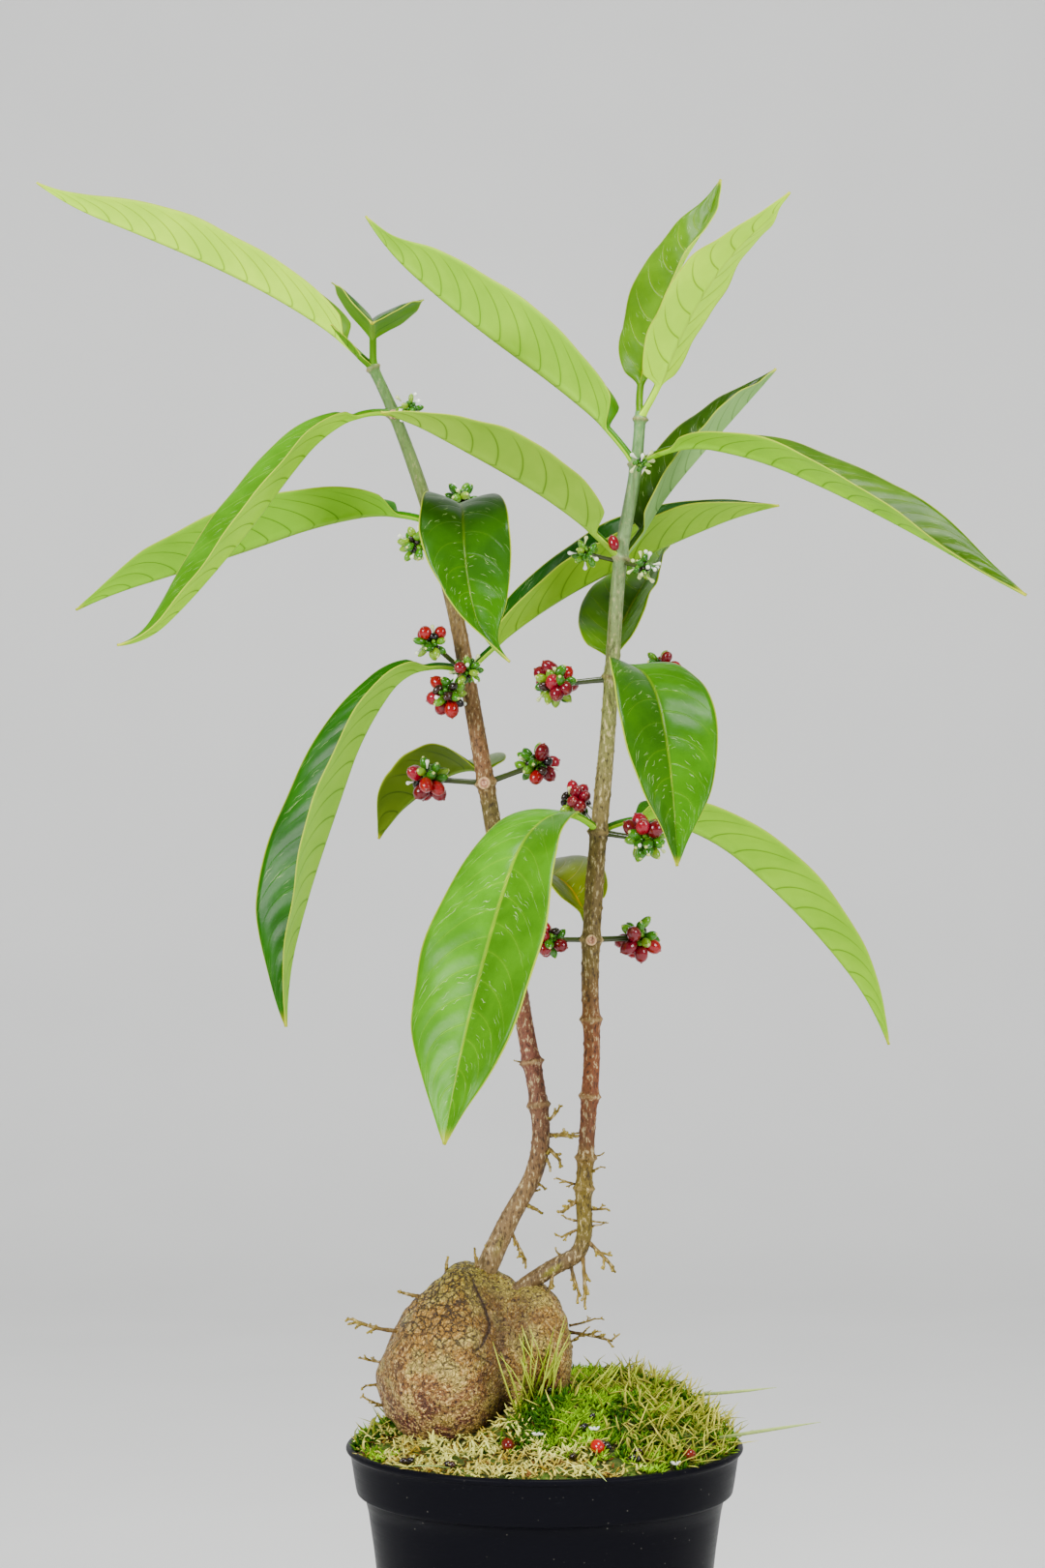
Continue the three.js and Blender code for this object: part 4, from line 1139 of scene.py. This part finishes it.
for side, table in LEAVES.items():
    for i, row in enumerate(table, 1):
        shape = leaf_shape(row, stems[side], seed=10 * i + len(side))
        make_piece(f"leaf_{side}_{i}", shape, leaf_finish, "leaf", f"{side}_leaf_{i}")
make_piece("leaf_bud", leaf_shape(BUD, stems["left"], 3), leaf_finish, "leaf", "left_bud")

# %% [markdown]
# ## Heads of berries
# The flowers sit on small green cushions at the ends of short stalks, or right against the stem, and
# turn into berries at different times. So one head holds ripe red berries, longer green ones, tiny white
# buds and sometimes a dried black one. The berries stand all round the cushion, spread evenly by the
# golden angle, and a seeded rule deals out which is which.
#
# A row of the table says: the height of the head's stalk on its stem, the heading, climb and length of
# that stalk, the size of the head, and how many red, green, budding and dry ones it has. Some rows add
# the heading and climb of the side that ripened first, or the place of one lone berry.

# %% The table of heads
Head = namedtuple("Head", "at heading climb stalk size red green bud dry ripe_side lone",
                  defaults=(None, None))
HEADS = {
    "left": [
        Head(447, 318, 20, 7, 0.72, 0, 9, 7, 0),
        Head(411, 222, -42, 10, 1.0, 0, 15, 7, 0),
        Head(411, 52, 33, 18, 1.0, 0, 13, 4, 0),
        Head(362, 226, 31, 19, 0.95, 3, 9, 3, 1, ripe_side=(270, 75)),
        Head(361, 236, -28, 12.5, 1.05, 4, 9, 4, 4),
        Head(362, 273, 4, 9.5, 0.86, 2, 11, 6, 0),
        Head(326, 186, 4, 19, 1.1, 8, 9, 4, 2, ripe_side=(196, -60)),
        Head(326, 8, 20, 18, 1.14, 5, 10, 4, 2, ripe_side=(0, 0)),
    ],
    "right": [
        Head(429, 284, 8, 7, 0.55, 0, 4, 6, 1),
        Head(398, 196, 12, 12, 0.75, 0, 10, 5, 0, lone=(22.2, -13, 404)),
        Head(398, 316, -12, 10.5, 0.72, 0, 7, 14, 0),
        Head(360, 184, -6, 18.5, 1.15, 10, 12, 3, 1),
        Head(360, 36, 12, 21, 0.9, 6, 6, 2, 1),
        Head(310, 140, 45, 14, 0.97, 6, 6, 2, 4, ripe_side=(270, 60)),
        Head(310, 338, -8, 16.5, 1.18, 5, 18, 6, 0, ripe_side=(220, 85)),
        Head(275, 176, 0, 14, 0.97, 6, 6, 1, 1),
        Head(275, 10, 2, 15.5, 1.12, 7, 8, 1, 1, ripe_side=(176, -45)),
    ],
}
GOLDEN_ANGLE = 137.5
BERRY = [(0.3, -0.98), (0.66, -0.78), (0.93, -0.4), (1, 0), (0.94, 0.4), (0.7, 0.76), (0.34, 0.96),
         (0.16, 1.0), (0.15, 1.1), (0.05, 1.12)]
GREEN_FRUIT = [(0.3, -0.98), (0.7, -0.75), (0.96, -0.3), (1, 0.1), (0.86, 0.52), (0.56, 0.84),
               (0.34, 0.93), (0.3, 1.04), (0.24, 1.08)]
BUD_FORM = [(0.3, -1), (0.45, -0.2), (0.8, 0.3), (1, 0.65), (0.6, 0.98)]
CUSHION = [(0.2, -1), (0.75, -0.7), (1, 0), (0.75, 0.7), (0.2, 1)]
REDS = [(134, 0, 34), (120, 0, 28), (146, 0, 38), (102, 0, 24), (112, 0, 30), (150, 6, 18)]
FRUIT_GREENS = [(58, 118, 8), (92, 144, 18), (46, 100, 4), (122, 160, 28)]
DRY = [(34, 20, 18), (54, 30, 24), (26, 18, 22)]
WHITES = [(250, 250, 240), (236, 240, 214), (204, 216, 140)]
RED_TIP, GREEN_TIP, STALK_TONE = (130, 50, 40), (206, 210, 110), (58, 68, 30)
RED_SIZE, GREEN_SIZE, DRY_SIZE, NUB_SIZE = np.array([(5.3, 4.4), (4.3, 2.75), (3.6, 2.6), (2.4, 1.7)])
BUD_SIZE, LONE_SIZE = (2.9, 1.4), (5.6, 3.4)
NUBS = 26  # on a cushion
print("heads:", sum(len(rows) for rows in HEADS.values()))

# %% The shape of a head
def fruits(head, out, size, tones, dice, reach, profile=BERRY, pale=None, turn=0.35):
    """Spindles of about one size, a length and a width, that stand on the cushion along the directions
    out, each turned a little from them. Their tips take the pale colour."""
    count = len(out)
    length = size[0] * dice.uniform(0.86, 1.1, count)
    width = size[1] * dice.uniform(0.9, 1.08, count)
    axis = unit(out + turn * dice.normal(0, 0.6, (count, 3)))
    reach = reach * dice.uniform(0.85, 1.15, count)
    rings = spindles(head + out * (reach + length / 2)[:, None], axis, length, width, profile, 12)
    tone = colour(tones)[dice.integers(0, len(tones), count)][:, None, None]
    tip = smooth(0.92, 1.05, np.array(profile)[:, 1])[:, None, None]
    return skin(rings, fruit_tone=blend(tone, colour(pale), tip) if pale else tone)


def spread_round(count, heading, start, lean, dice):
    """Directions that cover a ball evenly: the height falls in equal steps, the heading by the golden
    angle. A random share of each direction keeps the head from looking turned on a lathe."""
    i = np.arange(count)
    climb = np.degrees(np.arcsin(1 - 2 * (i + 0.5) / count))
    out = direction(heading + start + i * GOLDEN_ANGLE, np.clip(climb + lean, -90, 90))
    return unit(out + dice.normal(0, 0.13, out.shape))


def head_shape(row, stem, seed):
    """A stalk, a lumpy cushion, and the berries and buds on it."""
    dice = np.random.default_rng(seed)
    start = stem.place(stem.walk_to(row.at))
    head = start + direction(row.heading, row.climb) * row.stalk
    size = row.size
    stalk = strands(start, row.heading, row.climb, row.stalk, 0.75 * size + 0.15,
                    taper=(1.3, 1, 0.95, 1, 1.15), rows=10, sides=9)
    nubs = spread_round(NUBS, row.heading, 40, 0, dice)
    nub_tones = FRUIT_GREENS[:3] + DRY[:1]
    shapes = [skin(stalk, fruit_tone=colour(STALK_TONE)),
              fruits(head, nubs, NUB_SIZE * size, nub_tones, dice, 1.1 * size, CUSHION)]
    count = row.red + row.green + row.dry
    around = spread_round(count, row.heading, 0, 0, dice)
    order = dice.permutation(count)
    if row.ripe_side:
        order = np.argsort(around @ -direction(*row.ripe_side) + dice.normal(0, 0.3, count))
    ripe, dry, unripe = np.split(order, [row.red, row.red + row.dry])
    if len(ripe):
        shapes.append(fruits(head, around[ripe], RED_SIZE * size, REDS, dice, 2.0 * size, pale=RED_TIP))
    if len(dry):
        shapes.append(fruits(head, around[dry], DRY_SIZE * size, DRY, dice, 2.0 * size, turn=0.8))
    shapes.append(fruits(head, around[unripe], GREEN_SIZE * size, FRUIT_GREENS, dice, 2.2 * size,
                         GREEN_FRUIT, GREEN_TIP))
    buds = spread_round(row.bud, row.heading, 75, 8, dice)
    shapes.append(fruits(head, buds, BUD_SIZE, WHITES, dice, 4.2 * size, BUD_FORM))
    if row.lone:
        shapes.append(fruits(np.array(row.lone), direction(110, 62)[None], LONE_SIZE, REDS, dice, -2.8))
    return joined(shapes)


fruit = Finish("fruit_skin", Roughness=0.16, Specular_IOR_Level=0.3, Coat_Weight=0.4, Coat_Roughness=0.03)
blush = fruit.noise(420.0, 2.0)
fruit_tone = fruit.toned(fruit.stored("fruit_tone"), (fruit.step(blush, 0.45, 0.75), 0.15, (0.5, 0.5, 0.5)))
fruit_finish = fruit.finish(fruit_tone, None, blush, 0.05)

for side, table in HEADS.items():
    for i, row in enumerate(table, 1):
        shape = head_shape(row, stems[side], seed=200 + 10 * i + len(side))
        make_piece(f"berry_head_{side}_{i}", shape, fruit_finish, "berry", f"{side}_berries_{i}")

# %% [markdown]
# ## The moss carpet
# From a step away moss is a colour and a roughness, but at its edge, against the light, every leaf
# counts. So it is made of leaves: stars of short pointed leaves for the bright green cushions, limp
# curled ones for the pale bog moss at the front left, and longer pale needles on the right. They are
# joined into three meshes, and each leaf is a three-sided tube, flattened, with a few faces.

# %% Where the moss grows
def on_ground(x, y, above=0.0):
    """The points of the ground at some places, raised a little."""
    return np.stack([x, y, ground(x, y) + above], -1)


def scatter(count):
    """Random places that cover the mound evenly, apart from where the caudex stands."""
    radius = MOSS_RADIUS * np.sqrt(random.uniform(0, 1, count))
    angle = random.uniform(0, 2 * np.pi, count)
    place = on_ground(radius * np.cos(angle), radius * np.sin(angle))
    return place[caudex_field(place) > 1.0]


def straw_share(place):
    """1 where the pale bog moss grows, at the front left, and 0 where the green cushions do."""
    ragged = 9 * ripple(place[:, :2], 14, seed=31)
    front = smooth(-8, 12, -0.55 * place[:, 0] - 0.75 * place[:, 1] - 22 + ragged)
    return front * (0.25 + 0.75 * smooth(-58, -44, place[:, 0]))


def drawn(count, *ranges):
    """Random numbers from each range of low and high in turn, one for each copy."""
    return [random.uniform(*limits, count) for limits in ranges]


def moss_leaves(place, tones, share, heading, climb, length, width, bend, turn=0.0, rows=4):
    """Flattened blades. Each has a colour a share of the way between two tones, with painted shade that
    darkens its foot and a little painted light at its tip.
    """
    taper = {3: (0.8, 1, 0.12), 4: (0.8, 1, 0.8, 0.12)}[rows]
    rings = strands(place, heading, climb, length, width / 2, bend, turn, 0.4, taper, rows)
    tone = blend(*colour(tones), share[:, None])
    return skin(rings, moss_tone=tone[:, None, None] * np.linspace(0.5, 1.1, rows)[:, None, None])


STAR_LEAVES, STAR_TONES = 7, ((40, 84, 0), (160, 214, 0))
STAR_TRIES, STARS, BANK_STARS = 3300, 1240, 250
tufts = scatter(STAR_TRIES)
tufts = tufts[random.uniform(0, 1, len(tufts)) > 1.1 * straw_share(tufts)][:STARS]
bank_tufts = on_ground(*random.normal((4, -31), (9, 5), (BANK_STARS, 2)).T)  # on the bank's steep front
tufts = np.concatenate([tufts, bank_tufts])
count = len(tufts) * STAR_LEAVES
paler, aside, climb, length, width, bend = drawn(count, (-0.35, 0.35), (-30, 30), (20, 72), (2.4, 4.8),
                                                 (1.0, 1.6), (-50, 10))
bright = np.repeat(smooth(-0.6, 0.7, ripple(tufts[:, :2], 11, seed=33)), STAR_LEAVES)
bright = np.clip(bright + paler, 0, 1)
bright[-BANK_STARS * STAR_LEAVES:] *= 0.5
heading = np.tile(np.arange(STAR_LEAVES) * 360 / STAR_LEAVES, len(tufts)) + aside
star_leaves = moss_leaves(np.repeat(tufts, STAR_LEAVES, 0) - [0, 0, 0.5], STAR_TONES, bright, heading, climb,
                          length, width, bend, rows=3)
print("green tufts:", len(tufts))

# %% [markdown]
# Bog moss dries to pale straw. Its stems are limp, so they lie over one another in all directions and
# curl. On the right, pale needles as long as a fingernail lie across the green moss at every angle.

# %% Straw and needles
STRAW_TRIES, STRAWS, STRAW_TONES = 7200, 2300, ((182, 150, 36), (255, 254, 134))
NEEDLE_TRIES, NEEDLES, NEEDLE_TONES = 5200, 900, ((128, 146, 12), (224, 216, 96))
limp = scatter(STRAW_TRIES)
limp = limp[random.uniform(0, 1, len(limp)) < straw_share(limp)][:STRAWS]
clump = smooth(-0.4, 0.8, ripple(limp[:, :2], 6, seed=35))
paler, *shape = drawn(len(limp), (0, 0.7), (0, 360), (-5, 65), (2, 4.6), (0.8, 1.4), (-80, 10))
straw_leaves = moss_leaves(limp + (1.6 * clump)[:, None] * [0, 0, 1], STRAW_TONES,
                           np.clip(clump + paler, 0, 1), *shape)

needles = scatter(NEEDLE_TRIES)
needles = needles[straw_share(needles) < 0.35]
rightward = 0.12 + 0.88 * smooth(14, 48, needles[:, 0])
needles = needles[random.uniform(0, 1, len(needles)) < rightward][:NEEDLES]
needle_leaves = moss_leaves(
    needles + [0, 0, 1.0], NEEDLE_TONES,
    *drawn(len(needles), (0, 1), (0, 360), (4, 62), (5, 11), (0.8, 1.2), (-50, 20), (-70, 70)))
print("straws:", len(limp), "needles:", len(needles))

# %% [markdown]
# Thin grass-like blades stand in a fan in front of the right lobe, with smaller fans to its right. Two
# long pale stalks reach out beyond the rim on the right and two short ones lie at the front. Brown crumbs
# of old bark and leaf lie among the moss.

# %% Blades, stalks and crumbs
BLADE_TONES = ((136, 164, 12), (206, 220, 76))
BLADE_FANS = [
    {"middle": (-3, -23.5), "width": 11, "count": 27, "length": (12, 27), "lean": (-24, 24)},
    {"middle": (13, -8), "width": 9, "count": 9, "length": (9, 17), "lean": (25, 60)},
    {"middle": (30, 8), "width": 16, "count": 9, "length": (7, 12), "lean": (-40, 50)},
]


def blade_fan(middle, width, count, length, lean):
    """Upright blades in a row. Each leans to the right by its own number of degrees, or to the left."""
    forward, leans, share, *sizes = drawn(count, (-4, 4), lean, (0, 1), length, (1.4, 2.1), (-30, 10))
    place = on_ground(middle[0] + width / 2 * np.linspace(-1, 1, count), middle[1] + forward)
    return moss_leaves(place, BLADE_TONES, share, np.where(leans > 0, 10, 190), 90 - np.abs(leans), *sizes)


blade_leaves = [blade_fan(**fan) for fan in BLADE_FANS]

STALK_TONES = ((150, 176, 84), (186, 206, 124))
STALKS = np.array([  # where each starts, then its heading, climb, length, width and bend
    (50, 12, 123.5, 2, 4, 27, 3.3, 2), (56, -22, 115.5, -4, 10, 33, 3.5, -2),
    (-30, -50, 111, 200, 10, 16, 1.6, -16), (12, -52, 113, 300, -8, 14, 1.4, -20),
])
stray_leaves = moss_leaves(STALKS[:, :3], STALK_TONES, random.uniform(0, 1, len(STALKS)), *STALKS[:, 3:].T)

CRUMB_TRIES, CRUMBS, CRUMB_TONES = 1500, 900, ((48, 28, 14), (136, 92, 44))
crumbs = scatter(CRUMB_TRIES)[:CRUMBS]
*shape, share, bend = drawn(len(crumbs), (0, 360), (-20, 30), (0.8, 3.2), (0.6, 1.8), (0, 1), (-20, 20))
crumb_leaves = moss_leaves(crumbs + [0, 0, 1.0], CRUMB_TONES, share, *shape, bend, rows=3)

moss = Finish("moss_leaves", Roughness=0.6, Specular_IOR_Level=0.12)
moss_grain = moss.step(moss.noise(700.0, 2.0), 0.4, 0.7)
moss_tone = moss.toned(moss.stored("moss_tone"), (moss_grain, 1.0, (1.25, 1.2, 1.1)))
moss_finish = moss.finish(moss_tone)
make_piece("moss_stars", star_leaves, moss_finish, "moss")
make_piece("moss_straw", joined([straw_leaves, stray_leaves, crumb_leaves]), moss_finish, "moss")
make_piece("moss_blades", joined([needle_leaves, *blade_leaves]), moss_finish, "moss")

# %% [markdown]
# Ripe berries drop, and so do spent flowers. The photograph shows four berries, three flowers and some
# dried dark bits on the moss, so each gets its place on the ground and its colour.

# %% Fallen berries and flowers
FALLEN_BERRIES = {(16.5, -45.0): (170, 6, 8), (45.5, -38.0): (110, 30, 10), (-12.0, -40.0): (96, 16, 8),
                  (1.5, -22.0): (84, 8, 8)}
FALLEN_FLOWERS = [(-2.5, -37.0), (15.5, -36.0), (41.0, -47.0)]
DRIED = [(12.0, -34.0), (14.0, -29.0), (29.8, -44.0), (18.6, -44.0), (28.5, -49.0), (8.2, -47.0),
         (0.8, -23.0), (-30.0, -48.0), (-44.0, -40.0)]
PETALS, PETAL_TONE = 5, (240, 240, 226)
FALLEN_SIZE, PETAL_SIZE, BIT_SIZE = (5.0, 4.2), (1.9, 0.95), (3.2, 2.2)
fallen = []
for place, tone in FALLEN_BERRIES.items():
    axis = direction(random.uniform(0, 360), 12)[None]
    fallen.append(fruits(on_ground(*place, 2.4), axis, FALLEN_SIZE, [tone], random, -2.5))
for place in FALLEN_FLOWERS:
    petals = direction(np.arange(PETALS) * 360 / PETALS + random.uniform(0, 90), 20)
    fallen.append(fruits(on_ground(*place, 2.6), petals, PETAL_SIZE, [PETAL_TONE], random, 0.0))
for place in DRIED:
    bits = direction(random.uniform(0, 360, 3), random.uniform(-10, 40, 3))
    fallen.append(fruits(on_ground(*place, 1.8), bits, BIT_SIZE, DRY, random, -0.9))
make_piece("fallen_berries", joined(fallen), fruit_finish, "berry")

# %% [markdown]
# ## Measure
# The finished model is measured against the frame's box. It may stand out by a few millimetres where a
# wave of a leaf or a moss blade does.

# %% Measure
new_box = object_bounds()
for title, (low, high) in {"frame": cad_box, "model": new_box}.items():
    print(title, "from", [round(v / MM, 1) for v in low], "to", [round(v / MM, 1) for v in high], "mm")
